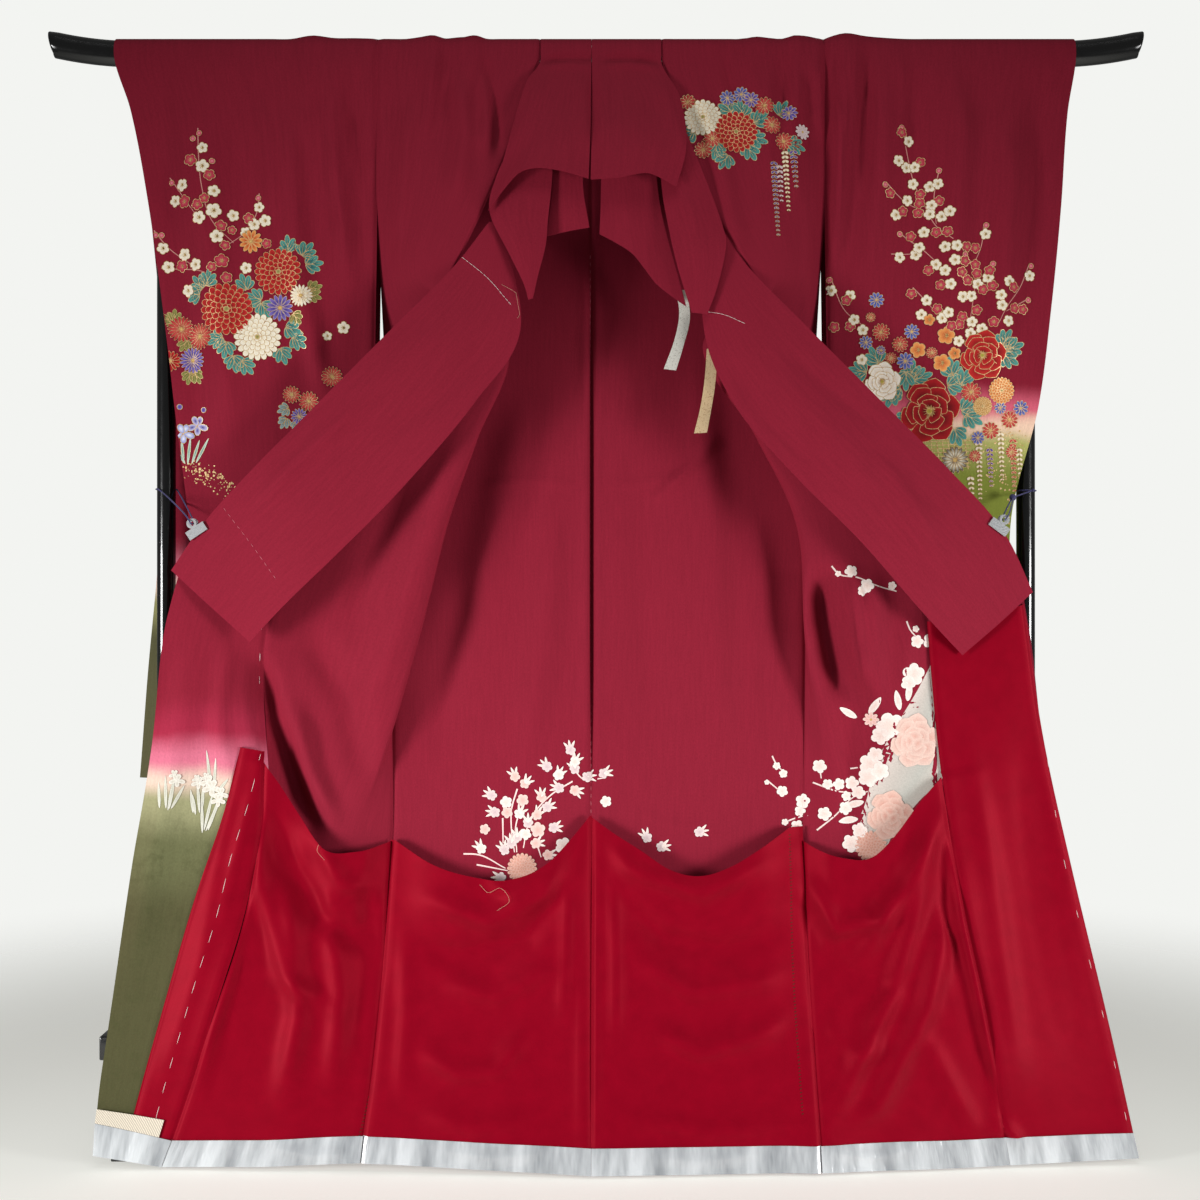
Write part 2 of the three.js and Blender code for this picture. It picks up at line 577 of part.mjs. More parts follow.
const RIBBON = 1; // thickness of the woven ribbon
const SILVER_STRIP = [
  [[110, -76.6, 1196], [125, -79, 1196]],
  [[115, -66, 1165], [130, -66, 1160]],
  [[108, -62, 1128], [121, -62, 1121]],
  [[94, -58, 1090], [111, -58, 1088]],
];
const GOLD_STRIP = [
  [[152, -86.6, 1114], [167, -88.6, 1114]],
  [[149, -74, 1068], [164, -74, 1064]],
  [[144, -62, 1034], [159, -62, 1030]],
  [[136, -58, 1001], [154, -58, 1002]],
];

// ---- clips and cords that hold the collar's ends to the posts ------------------------------

const CLIP = {
  width: 29, plate: 1.2, grip: 5.5, mouth: 8, web: 6, neck: 6, head: 7, reach: 20, hole: 3.7,
};
const TIE = { radius: 1, knot: 5, wrapKnot: 2.4, sides: 6 };
const CLIP_LEFT = clipFrame([-549.5, -67.8, 864.6], [0.84, -0.08, 0.55], [-0.55, 0, 0.84]);
const CLIP_RIGHT = clipFrame([553.5, -74.2, 870], [0.81, 0.07, -0.59], [0.59, 0, 0.81]);

/** Where a clip sits: its origin on the cloth's edge, its X along that edge, its Y outwards. */
function clipFrame(origin, edge, outward) {
  const alongEdge = vector(edge).normalize();
  const square = alongEdge.clone().cross(vector(outward)).normalize();
  const out = square.clone().cross(alongEdge);
  return new THREE.Matrix4().makeBasis(alongEdge, out, square).setPosition(...origin);
}

/** A closed solid from a geometry, with the vertices that it shares merged. */
function solidFrom(geometry) {
  const plain = geometry.index ? geometry.toNonIndexed() : geometry.clone();
  plain.deleteAttribute('normal');
  plain.deleteAttribute('uv');
  const merged = mergeVertices(plain, 1e-4);
  return new wasm.Manifold(new wasm.Mesh({
    numProp: 3,
    vertProperties: merged.attributes.position.array,
    triVerts: new Uint32Array(merged.index.array),
  }));
}

/** One geometry from several solids that touch, joined. */
function joined(geometries) {
  const solid = geometries.map(solidFrom).reduce((whole, piece) => whole.add(piece));
  const mesh = solid.getMesh();
  const geometry = new THREE.BufferGeometry();
  geometry.setAttribute('position', new THREE.Float32BufferAttribute(mesh.vertProperties, 3));
  geometry.setIndex(Array.from(mesh.triVerts));
  return geometry;
}

/**
 * A spring clip on the collar's sewn edge: a jaw bar over both layers and a handle with a round
 * head on either face. Its own X runs along the edge, its Y outwards, its Z square to the cloth.
 */
function clipGeometry() {
  const { width, plate, grip, mouth, web, neck, head, reach, hole } = CLIP;
  const half = mouth / 2;
  const jaw = new THREE.Shape();
  jaw.moveTo(-grip, half);
  jaw.lineTo(web, half);
  jaw.lineTo(web, -half);
  jaw.lineTo(-grip, -half);
  jaw.lineTo(-grip, -half - plate);
  jaw.lineTo(web + plate, -half - plate);
  jaw.lineTo(web + plate, half + plate);
  jaw.lineTo(-grip, half + plate);
  const bar = new THREE.ExtrudeGeometry(jaw, { depth: width, bevelEnabled: false });
  bar.applyMatrix4(new THREE.Matrix4().makeBasis(
    new THREE.Vector3(0, 1, 0), new THREE.Vector3(0, 0, 1), new THREE.Vector3(1, 0, 0),
  ));
  bar.translate(-width / 2, 0, 0);
  const plan = new THREE.Shape();
  const shoulder = Math.asin(neck / 2 / head);
  plan.moveTo(-neck / 2, 0);
  plan.lineTo(neck / 2, 0);
  plan.absarc(0, reach - head, head, -Math.PI / 2 + shoulder, 1.5 * Math.PI - shoulder, false);
  const eye = new THREE.Path();
  eye.absarc(0, reach - head, hole, 0, 2 * Math.PI, true);
  plan.holes.push(eye);
  const handles = [half, -half - plate].map((level) => {
    const handle = new THREE.ExtrudeGeometry(plan, {
      depth: plate, bevelEnabled: false, curveSegments: 12,
    });
    handle.translate(0, 0, level);
    return handle;
  });
  return joined([bar, ...handles]);
}

/** A point of a clip's own frame, in the object's. */
const onClip = (frame, x, y, z) => new THREE.Vector3(x, y, z).applyMatrix4(frame);

/** Points of a cord's bend round a post, from one bearing to another round its back. */
function roundPost(x, height, from, to, steps) {
  const radius = POST.radius + TIE.radius + 1.5 * SEAM;
  return Array.from({ length: steps + 1 }, (_, step) => {
    const turn = radians(lerp(from, to, step / steps));
    return new THREE.Vector3(x + radius * Math.cos(turn), radius * Math.sin(turn), height);
  });
}

/** A cord along a line of points, closed or with two ends. */
const cordGeometry = (points, closed, steps) => new THREE.TubeGeometry(
  new THREE.CatmullRomCurve3(points, closed, 'centripetal'), steps, TIE.radius, TIE.sides, closed,
);

/** Points of a cord that comes from behind a clip, through its heads and back over their top. */
function throughHeads(frame) {
  const eye = CLIP.reach - CLIP.head;
  const face = CLIP.mouth / 2 + CLIP.plate;
  return [
    onClip(frame, 0, eye, -face - 3), onClip(frame, 0, eye, 0), onClip(frame, 0, eye, face + 2.6),
    onClip(frame, 0, CLIP.reach + 3, face),
  ];
}

/** The left tie: one loop through the clip's heads and round the post behind the sleeve. */
const leftTie = () => cordGeometry(
  [...throughHeads(CLIP_LEFT), ...roundPost(-POST.x, 927, 230, 10, 8)], true, 84,
);

/** The right tie: an eye through the clip's heads, a knot, and a strand tied round the post. */
function rightTie() {
  const knot = new THREE.Vector3(581, -44, 913);
  const clipEye = cordGeometry([...throughHeads(CLIP_RIGHT), knot], true, 36);
  const height = 925;
  const onPost = roundPost(POST.x, height, 300, 300, 1)[0];
  const round = new THREE.Shape();
  round.absarc(0, 0, TIE.radius, 0, 2 * Math.PI);
  const strand = new THREE.ExtrudeGeometry(round, {
    steps: 1, curveSegments: TIE.sides, extrudePath: new THREE.LineCurve3(knot, onPost),
  });
  const ring = cordGeometry(roundPost(POST.x, height, 0, 345, 23), true, 24);
  const balls = [[knot, TIE.knot], [onPost, TIE.wrapKnot]].map(([centre, radius]) => {
    const ball = new THREE.SphereGeometry(radius, 10, 8);
    ball.translate(centre.x, centre.y, centre.z);
    return ball;
  });
  balls[1].translate(0, -1.2, 0);
  return joined([clipEye, strand, ring, ...balls]);
}

// ---- stand --------------------------------------------------------------------------------

/** A round bar along X through stations of place and height, its ends closed. */
function barAlongX(stations, radius, sides) {
  const positions = [];
  stations.forEach(({ x, z, lean = 0 }, index) => {
    const next = stations[Math.min(index + 1, stations.length - 1)];
    const last = stations[Math.max(index - 1, 0)];
    const slope = Math.atan2(next.z - last.z, next.x - last.x) - lean;
    for (let side = 0; side < sides; side += 1) {
      const turn = 2 * Math.PI * (side + 0.5) / sides;
      const up = radius * Math.sin(turn);
      positions.push(x - up * Math.sin(slope), radius * Math.cos(turn), z + up * Math.cos(slope));
    }
  });
  const triangles = [];
  for (let ring = 0; ring < stations.length - 1; ring += 1) {
    for (let side = 0; side < sides; side += 1) {
      const next = (side + 1) % sides;
      const [a, b] = [ring * sides + side, ring * sides + next];
      triangles.push(a, b, b + sides, a, b + sides, a + sides);
    }
  }
  const lastRing = (stations.length - 1) * sides;
  for (let side = 1; side < sides - 1; side += 1) {
    triangles.push(0, side + 1, side, lastRing, lastRing + side, lastRing + side + 1);
  }
  const geometry = new THREE.BufferGeometry();
  geometry.setAttribute('position', new THREE.Float32BufferAttribute(positions, 3));
  geometry.setIndex(triangles);
  return geometry;
}

/** The top rail: straight between the posts' shoulders, its ends turned up in an arc. */
function topRail() {
  const { radius, height, straight, reach, rise, lean, sides } = RAIL;
  const turned = [1, 0.75, 0.5, 0.25, 0];
  const end = (direction) => turned.map((part) => ({
    x: direction * lerp(straight, reach, part),
    z: height + rise * part * part,
    lean: part === 1 ? direction * (lean + 2 * rise / (reach - straight)) : 0,
  }));
  return barAlongX([...end(-1), ...end(1).reverse()], radius, sides);
}

/** The low rail, with a hole that each post passes through. */
function lowRail() {
  const { reach, depth, bottom, top } = LOW_RAIL;
  const plan = new THREE.Shape();
  plan.moveTo(-reach, -depth / 2);
  plan.lineTo(reach, -depth / 2);
  plan.lineTo(reach, depth / 2);
  plan.lineTo(-reach, depth / 2);
  for (const side of [-1, 1]) {
    const hole = new THREE.Path();
    hole.absarc(side * POST.x, 0, POST.radius + 2 * SEAM, 0, 2 * Math.PI, true);
    plan.holes.push(hole);
  }
  const rail = new THREE.ExtrudeGeometry(plan, {
    depth: top - bottom, bevelEnabled: false, curveSegments: 10,
  });
  rail.translate(0, 0, bottom);
  return rail;
}

/** A foot: a low block across the post, its toes sloped. */
function foot() {
  const { width, depth, height, slope } = FOOT;
  const profile = new THREE.Shape();
  profile.moveTo(-depth / 2, 0);
  profile.lineTo(depth / 2, 0);
  profile.lineTo(depth / 2, height - slope);
  profile.lineTo(depth / 2 - slope, height);
  profile.lineTo(-depth / 2 + slope, height);
  profile.lineTo(-depth / 2, height - slope);
  const block = new THREE.ExtrudeGeometry(profile, { depth: width, bevelEnabled: false });
  block.applyMatrix4(new THREE.Matrix4().makeBasis(
    new THREE.Vector3(0, 1, 0), new THREE.Vector3(0, 0, 1), new THREE.Vector3(1, 0, 0),
  ));
  block.translate(-width / 2, 0, 0);
  return block;
}

/** A round post from its foot up to the top rail. */
function post() {
  const bottom = FOOT.height + SEAM;
  const top = RAIL.height - RAIL.radius - SEAM;
  const geometry = new THREE.CylinderGeometry(POST.radius, POST.radius, top - bottom, POST.sides);
  geometry.rotateX(Math.PI / 2);
  geometry.translate(0, 0, (top + bottom) / 2);
  return geometry;
}

// ---- the scene graph ----------------------------------------------------------------------

const kimonoOnStand = new THREE.Group();

function add(name, geometry, material, x = 0) {
  const mesh = new THREE.Mesh(geometry, material);
  mesh.name = name;
  mesh.position.x = x;
  kimonoOnStand.add(mesh);
}

const wrapped = { squareTop: true };
add('back_left', clothWall(backLeft, wrapped), CREPE);
add('back_right', clothWall(backRight, wrapped), CREPE);
add('front_left', clothWall(frontLeft, wrapped), CREPE);
add('front_right', clothWall(frontRight, wrapped), CREPE);
add('okumi_left', clothWall(okumiLeft), CREPE);
add('okumi_right', clothWall(okumiRight), CREPE);
add('sleeve_left_front', clothWall(sleeve(SLEEVE_LEFT_XS, -1, SLEEVE_LEFT_FRONT, -1), wrapped), CREPE);
add('sleeve_left_back', clothWall(sleeve(SLEEVE_LEFT_XS, 1, SLEEVE_LEFT_BACK, -1), wrapped), CREPE);
add('sleeve_right_front', clothWall(sleeve(SLEEVE_RIGHT_XS, -1, SLEEVE_RIGHT_FRONT, 1), wrapped), CREPE);
add('sleeve_right_back', clothWall(sleeve(SLEEVE_RIGHT_XS, 1, SLEEVE_RIGHT_BACK, 1), wrapped), CREPE);
for (const [name, grid] of Object.entries(collarPieces)) {
  add(name, clothWall(grid, { squareTop: name.startsWith('collar_nape') }), CREPE);
}
for (const [name, grid] of Object.entries(linings)) add(name, clothWall(grid), LINING);
for (const [name, grid] of Object.entries(tapes)) add(name, clothWall(grid), SATIN);
add('tape_header_left', clothWall(headerOn(okumiLeft, { height: 19, columns: 6, gap: TAPE_GAP })), COTTON);
add('ribbon_silver', clothWall(layer(SILVER_STRIP, { parts: 1 }), { thickness: RIBBON }), SILVER_RIBBON);
add('ribbon_gold', clothWall(layer(GOLD_STRIP, { parts: 1 }), { thickness: RIBBON }), GOLD_RIBBON);
add('clip_left', clipGeometry().applyMatrix4(CLIP_LEFT), STEEL);
add('clip_right', clipGeometry().applyMatrix4(CLIP_RIGHT), STEEL);
add('tie_left', leftTie(), CORD);
add('tie_right', rightTie(), CORD);
add('top_rail', topRail(), LACQUER);
add('low_rail', lowRail(), LACQUER);
for (const [side, direction] of [['left', -1], ['right', 1]]) {
  add(`post_${side}`, post(), LACQUER, direction * POST.x);
  add(`foot_${side}`, foot(), LACQUER, direction * POST.x);
}

// The origin is on the floor below the middle of the whole, so the rail stands behind it.
const whole = new THREE.Box3().setFromObject(kimonoOnStand);
for (const mesh of kimonoOnStand.children) mesh.position.y -= (whole.min.y + whole.max.y) / 2;

export default kimonoOnStand;
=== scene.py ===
"""A furisode kimono hung open on a lacquered display stand, its inside to the front.

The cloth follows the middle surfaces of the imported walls, made finer and creased. Lengths in
this file are millimetres from the floor below the rail's middle, +X to the right and +Y to the
back, unless a name says metres.
"""

import logging
import math
from collections import defaultdict
from collections.abc import Iterable, Sequence
from dataclasses import dataclass, field
from enum import Enum

import bmesh
import bpy
import numpy as np
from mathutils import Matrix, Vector
from mathutils.bvhtree import BVHTree
from mathutils.kdtree import KDTree


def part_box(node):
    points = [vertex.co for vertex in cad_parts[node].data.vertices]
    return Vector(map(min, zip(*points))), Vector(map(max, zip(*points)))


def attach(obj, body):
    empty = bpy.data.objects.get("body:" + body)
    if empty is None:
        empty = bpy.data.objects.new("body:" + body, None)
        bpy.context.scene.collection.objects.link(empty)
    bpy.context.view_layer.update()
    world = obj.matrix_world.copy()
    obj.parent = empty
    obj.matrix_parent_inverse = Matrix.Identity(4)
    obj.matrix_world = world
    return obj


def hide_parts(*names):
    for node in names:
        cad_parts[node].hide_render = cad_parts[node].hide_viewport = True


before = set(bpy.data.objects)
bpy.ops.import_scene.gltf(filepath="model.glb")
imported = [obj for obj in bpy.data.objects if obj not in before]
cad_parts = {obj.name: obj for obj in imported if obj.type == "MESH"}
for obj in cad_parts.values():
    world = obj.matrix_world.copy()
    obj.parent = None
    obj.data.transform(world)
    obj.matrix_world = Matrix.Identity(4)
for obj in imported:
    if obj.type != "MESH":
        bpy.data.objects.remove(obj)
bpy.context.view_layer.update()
MM = 0.001
RAIL_Y = sum(corner.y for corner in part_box("post_left")) / 2 / MM  # the rail's plane
NEAR_SIDE = -400.0  # Y of a place in front of everything
LOG = logging.getLogger("furisode")

Point = tuple[float, float, float]
Spot = tuple[float, float]  # x and z of a place on the front


def metres(points: np.ndarray) -> np.ndarray:
    """Points of this file's millimetres in the frame's metres."""
    return (points + np.array([0.0, RAIL_Y, 0.0])) * MM


def millimetres(points: np.ndarray) -> np.ndarray:
    """Points of the frame's metres in this file's millimetres."""
    return points / MM - np.array([0.0, RAIL_Y, 0.0])


def linear(code: str) -> tuple[float, float, float, float]:
    """The linear colour, with full alpha, of an sRGB code written #rrggbb."""
    parts = [int(code[i:i + 2], 16) / 255 for i in (1, 3, 5)]
    red, green, blue = (p / 12.92 if p <= 0.04045 else ((p + 0.055) / 1.055) ** 2.4 for p in parts)
    return red, green, blue, 1.0


# ---- materials --------------------------------------------------------------------------------


def add_node(tree: bpy.types.NodeTree, kind: str, inputs: dict | None = None,
             stops: Sequence[tuple[float, tuple]] = (), **settings: object) -> bpy.types.Node:
    """Adds a node with its settings, and links or fills its inputs.

    Args:
        tree: The node tree it goes in.
        kind: The node's type.
        inputs: A value or an output socket for each input, by its name or number.
        stops: Places and colours of a colour ramp.
        settings: The node's own properties.

    Returns:
        The node.
    """
    node = tree.nodes.new(kind)
    for name, value in settings.items():
        setattr(node, name, value)
    for socket, value in (inputs or {}).items():
        if isinstance(value, bpy.types.NodeSocket):
            tree.links.new(value, node.inputs[socket])
        else:
            node.inputs[socket].default_value = value
    if stops:
        elements = node.color_ramp.elements
        while len(elements) < len(stops):
            elements.new(0.5)
        for element, (place, colour) in zip(elements, stops):
            element.position = place
            element.color = colour
    return node


Socket = bpy.types.NodeSocket
Tree = bpy.types.NodeTree


def along_cloth(tree: Tree) -> Socket:
    """Places in metres along a piece of cloth, across and down it."""
    return add_node(tree, "ShaderNodeUVMap", uv_map="Cloth").outputs[0]


def in_space(tree: Tree) -> Socket:
    """Places in metres in the object's own space."""
    return add_node(tree, "ShaderNodeTexCoord").outputs["Object"]


def stretched(tree: Tree, place: Socket, scale: Point, rotation: Point = (0.0, 0.0, 0.0)) -> Socket:
    """Places turned and scaled, so that a pattern on them is drawn out."""
    return add_node(tree, "ShaderNodeMapping", {
        "Vector": place, "Rotation": rotation, "Scale": scale}).outputs[0]


def noise(tree: Tree, place: Socket, scale: float, detail: float = 2.0, roughness: float = 0.5,
          distortion: float = 0.0) -> Socket:
    """A cloudy pattern from 0 to 1."""
    return add_node(tree, "ShaderNodeTexNoise", {
        "Vector": place, "Scale": scale, "Detail": detail, "Roughness": roughness,
        "Distortion": distortion}).outputs[0]


def remapped(tree: Tree, value: Socket, start: Spot, end: Spot = (0.0, 1.0)) -> Socket:
    """A value brought from one range into another and held inside it."""
    return add_node(tree, "ShaderNodeMapRange", {
        "Value": value, "From Min": start[0], "From Max": start[1],
        "To Min": end[0], "To Max": end[1]}).outputs[0]


def maths(tree: Tree, operation: str, *values: Socket | float) -> Socket:
    """One sum on two or three values."""
    return add_node(tree, "ShaderNodeMath", dict(enumerate(values)), operation=operation).outputs[0]


def toned(tree: Tree, colour: Socket | tuple, level: Socket) -> Socket:
    """A colour made darker or lighter by a level about 1."""
    return add_node(tree, "ShaderNodeVectorMath", {0: colour, 3: level},
                    operation="SCALE").outputs[0]


def ramped(tree: Tree, value: Socket, *stops: tuple[float, str]) -> Socket:
    """Colours along a value."""
    return add_node(tree, "ShaderNodeValToRGB", {0: value},
                    stops=[(place, linear(code)) for place, code in stops]).outputs[0]


def bumped(tree: Tree, height: Socket, strength: float, depth: float) -> Socket:
    """The normals of a relief of a depth in millimetres."""
    return add_node(tree, "ShaderNodeBump", {
        "Strength": strength, "Distance": depth * MM, "Height": height}).outputs[0]


def lit(tree: Tree, colour: Socket | tuple, roughness: Socket | float, normal: Socket | None = None,
        **more: object) -> Socket:
    """A surface's shader; further inputs are named with _ for a space."""
    inputs = {"Base Color": colour, "Roughness": roughness}
    inputs |= {name.replace("_", " "): value for name, value in more.items()}
    if normal is not None:
        inputs["Normal"] = normal
    return add_node(tree, "ShaderNodeBsdfPrincipled", inputs).outputs[0]


def new_material(name: str) -> tuple[bpy.types.Material, Tree]:
    """A material with an empty tree, and that tree."""
    material = bpy.data.materials.new(name)
    material.use_nodes = True
    material.node_tree.nodes.clear()
    return material, material.node_tree


class Finish:
    """What a surface is made of; each finish builds its own material once."""

    name: str

    def surface(self, tree: Tree) -> Socket:
        """The shader's output, made in the tree."""
        raise NotImplementedError

    def material(self) -> bpy.types.Material:
        """This finish's material, made the first time it is asked for."""
        made = bpy.data.materials.get(self.name)
        if made is None:
            made, tree = new_material(self.name)
            add_node(tree, "ShaderNodeOutputMaterial", {"Surface": self.surface(tree)})
        return made


DYE_DRIFT = 0.05  # how far a dye's edge wanders, in metres
SPECKLE_FADE = 90.0  # over what height patches of dye fade in
PEBBLE = 1.9  # crepe's pebbles are about 1 mm, drawn coarser so that they show
LINING_THREAD = 1.6  # the lining's threads are 0.2 mm, drawn coarser so that they show


@dataclass(frozen=True)
class Dye:
    """A colour that changes with the height above the floor, and how it is patched."""

    colour: str
    stops: tuple[tuple[float, str], ...] = ()  # heights and their colours, lowest first
    speckle: str = ""  # darker patches that show in the lower dye
    speckle_top: float = 0.0

    def output(self, tree: Tree) -> Socket:
        """The dyed colour's output in the tree."""
        place = in_space(tree)
        low, high = self.stops[0][0] * MM, self.stops[-1][0] * MM
        height = add_node(tree, "ShaderNodeSeparateXYZ", {0: place}).outputs["Z"]
        uneven = maths(tree, "MULTIPLY_ADD", noise(tree, place, 9.0, 3.0), DYE_DRIFT, height)
        level = remapped(tree, uneven, (low + DYE_DRIFT / 2, high + DYE_DRIFT / 2))
        stops = [((z * MM - low) / (high - low), linear(code)) for z, code in self.stops]
        ramp = add_node(tree, "ShaderNodeValToRGB", {0: level}, stops=stops)
        ramp.color_ramp.interpolation = "EASE"
        if not self.speckle:
            return ramp.outputs[0]
        amount = remapped(tree, noise(tree, place, 55.0, 5.0, 0.7), (0.5, 0.72), (0.0, 0.55))
        below = remapped(tree, height, (self.speckle_top * MM,
                                        (self.speckle_top - SPECKLE_FADE) * MM))
        mixed = add_node(tree, "ShaderNodeMix", {
            0: maths(tree, "MULTIPLY", amount, below), 6: ramp.outputs[0],
            7: linear(self.speckle)}, data_type="RGBA")
        return mixed.outputs[2]


@dataclass(frozen=True)
class SilkCrepe(Finish):
    """Chirimen, a silk crepe of hard-twisted yarn: pebbled, matt, with a soft bloom on slopes."""

    name: str
    dye: Dye
    bloom: str = "#c8405a"

    def surface(self, tree: Tree) -> Socket:
        """A dyed, pebbled and lightly streaked cloth."""
        along = along_cloth(tree)
        pebbled = stretched(tree, along, (1 / PEBBLE / MM, 0.62 / PEBBLE / MM, 1.0))
        streaked = stretched(tree, along, (0.28 / MM, 0.02 / MM, 1.0))
        height = maths(tree, "MULTIPLY_ADD", noise(tree, streaked, 1.0, 3.0, 0.65), 0.8,
                       noise(tree, pebbled, 1.0, 2.0, 0.6))
        worn = remapped(tree, height, (0.55, 1.25), (0.86, 1.13))
        colour = self.dye.output(tree) if self.dye.stops else linear(self.dye.colour)[:3]
        bloom = linear(self.bloom)
        return lit(tree, toned(tree, colour, worn), 0.7, bumped(tree, height, 0.8, 0.16),
                   Specular_IOR_Level=0.3, Specular_Tint=bloom, Sheen_Weight=0.12,
                   Sheen_Roughness=0.45, Sheen_Tint=bloom)


@dataclass(frozen=True)
class PlainSilk(Finish):
    """Plain-woven silk lining: thin and smooth, with a broad soft gloss along its folds."""

    name: str
    colour: str
    bloom: str

    def surface(self, tree: Tree) -> Socket:
        """A smooth cloth whose fine ribs run across it."""
        along, bloom = along_cloth(tree), linear(self.bloom)
        ribs = add_node(tree, "ShaderNodeTexWave", {
            "Vector": along, "Scale": 1 / LINING_THREAD / MM / 20 * 6.28, "Distortion": 1.5,
            "Detail": 2.0, "Detail Scale": 3.0}, bands_direction="Y")
        slubs = noise(tree, along, 38.0, 4.0, 0.55)
        height = maths(tree, "MULTIPLY_ADD", slubs, 2.2, ribs.outputs["Fac"])
        level = remapped(tree, slubs, (0.3, 0.7), (0.93, 1.06))
        return lit(tree, toned(tree, linear(self.colour)[:3], level), 0.48,
                   bumped(tree, height, 0.5, 0.09), Specular_IOR_Level=0.45, Specular_Tint=bloom,
                   Sheen_Weight=0.12, Sheen_Roughness=0.35, Sheen_Tint=bloom)


@dataclass(frozen=True)
class Satin(Finish):
    """Satin tape of long floats: the gloss where it bends is painted highlight and shade."""

    name: str
    colour: str
    # shade is the painted shade in the dark bands of its gloss
    shade: str

    def surface(self, tree: Tree) -> Socket:
        """A smooth pale cloth with painted highlight and shade in glossy bands across it."""
        bands = noise(tree, stretched(tree, along_cloth(tree), (26.0, 5.0, 1.0)), 1.0, 4.0, 0.6)
        # painted highlight and shade: the colour runs from the painted shade to the pale colour
        # along the bands
        colour = ramped(tree, bands, (0.36, self.shade), (0.66, self.colour))
        return lit(tree, colour, 0.24, bumped(tree, bands, 1.0, 4.5),
                   Specular_IOR_Level=0.8, Sheen_Weight=0.15)


@dataclass(frozen=True)
class CottonTwill(Finish):
    """Unbleached cotton twill: matt cream with faint diagonal ribs."""

    name: str
    colour: str
    rib: str = "#d9cfbd"

    def surface(self, tree: Tree) -> Socket:
        """A matt, ribbed cloth."""
        ribs = add_node(tree, "ShaderNodeTexWave", {
            "Vector": along_cloth(tree), "Scale": 170.0, "Distortion": 2.0},
            bands_direction="DIAGONAL").outputs["Fac"]
        colour = ramped(tree, ribs, (0.0, self.rib), (1.0, self.colour))
        return lit(tree, colour, 0.9, bumped(tree, ribs, 0.6, 0.2), Specular_IOR_Level=0.2)


@dataclass(frozen=True)
class BlackLacquer(Finish):
    """Polished black lacquer on wood: deep gloss with a very slight unevenness."""

    name: str = "polished black lacquer"
    colour: str = "#0a0a0b"

    def surface(self, tree: Tree) -> Socket:
        """A black, coated surface with faint polishing marks."""
        marks = noise(tree, in_space(tree), 60.0, 4.0)
        rough = remapped(tree, marks, (0.0, 1.0), (0.1, 0.24))
        return lit(tree, linear(self.colour), rough, bumped(tree, marks, 0.12, 0.1),
                   IOR=1.54, Coat_Weight=0.6, Coat_Roughness=0.05)


@dataclass(frozen=True)
class PlatedSteel(Finish):
    """Nickel-plated spring steel: bright, with a fine brushed grain."""

    name: str = "nickel-plated spring steel"
    colour: str = "#bfc1c3"

    def surface(self, tree: Tree) -> Socket:
        """A brushed metal."""
        brushed = stretched(tree, in_space(tree), (300.0, 300.0, 2500.0), (0.0, 0.6, 0.0))
        rough = remapped(tree, noise(tree, brushed, 1.0), (0.0, 1.0), (0.16, 0.4))
        return lit(tree, linear(self.colour), rough, Metallic=0.65)


@dataclass(frozen=True)
class BraidedCord(Finish):
    """A thin braided cord of dyed polyester: its strands cross in small diamonds."""

    name: str = "braided cord"
    colour: str = "#3a3580"
    shade: str = "#191645"

    def surface(self, tree: Tree) -> Socket:
        """A two-toned braid."""
        strands = add_node(tree, "ShaderNodeTexVoronoi", {
            "Vector": in_space(tree), "Scale": 900.0}).outputs["Distance"]
        colour = ramped(tree, strands, (0.1, self.colour), (0.7, self.shade))
        return lit(tree, colour, 0.6, bumped(tree, strands, 0.8, 0.3), Sheen_Weight=0.3)


@dataclass(frozen=True)
class MetalThreadRibbon(Finish):
    """Ribbon woven with foil-wrapped thread: a checked glitter over a pale ground."""

    name: str
    ground: str
    thread: str

    def surface(self, tree: Tree) -> Socket:
        """A glittering woven ribbon with a small leaf-like figure."""
        along = along_cloth(tree)
        glitter = add_node(tree, "ShaderNodeTexVoronoi", {
            "Vector": along, "Scale": 620.0}).outputs["Distance"]
        mixed = maths(tree, "ADD", glitter, noise(tree, along, 210.0, 1.0, 0.5, 1.8))
        colour = ramped(tree, mixed, (0.62, self.ground), (0.86, self.thread))
        return lit(tree, colour, 0.38, bumped(tree, glitter, 0.7, 0.25), Metallic=0.55)


BURGUNDY = "#801e2f"
GREEN = "#50543a"
BURGUNDY_CREPE = SilkCrepe("burgundy silk crepe", Dye(BURGUNDY))
LEFT_SLEEVE_CREPE = SilkCrepe("silk crepe shaded to green, left sleeve", Dye(BURGUNDY, (
    (700, GREEN), (760, "#8f9060"), (790, "#e3c9b8"), (815, "#d9788c"), (870, BURGUNDY))))
RIGHT_SLEEVE_CREPE = SilkCrepe("silk crepe shaded to green, right sleeve", Dye(BURGUNDY, (
    (940, "#7d8a3a"), (990, "#a8aa62"), (1012, "#e9c7ae"), (1035, "#cf5f74"), (1075, BURGUNDY))))
OVERLAP_CREPE = SilkCrepe("silk crepe shaded to green, overlap", Dye(BURGUNDY, (
    (330, "#464a30"), (430, "#5c6142"), (490, "#8d8e6a"), (518, "#cfb9a8"), (545, "#c66a80"),
    (585, "#94273d"), (640, BURGUNDY)), speckle="#3c4429", speckle_top=505))
RED_LINING = PlainSilk("red plain silk", "#7c0419", "#c81232")
# the satin's pale colour, then the painted shade of its gloss bands
HEM_SATIN = Satin("silver satin", "#c6cacd", "#85898d")
COTTON = CottonTwill("cream cotton twill", "#a9a092")
LACQUER = BlackLacquer()
STEEL = PlatedSteel()
CORD = BraidedCord()
SILVER_RIBBON = MetalThreadRibbon("silver ribbon", "#b9b3a6", "#f1eee4")
GOLD_RIBBON = MetalThreadRibbon("gold ribbon", "#b98a60", "#edcfa4")


# ---- cloth ------------------------------------------------------------------------------------


class Held(Enum):
    """How a piece of cloth is held."""

    HUNG = "hung"
    FOLDED = "folded"
    STRETCHED = "stretched"


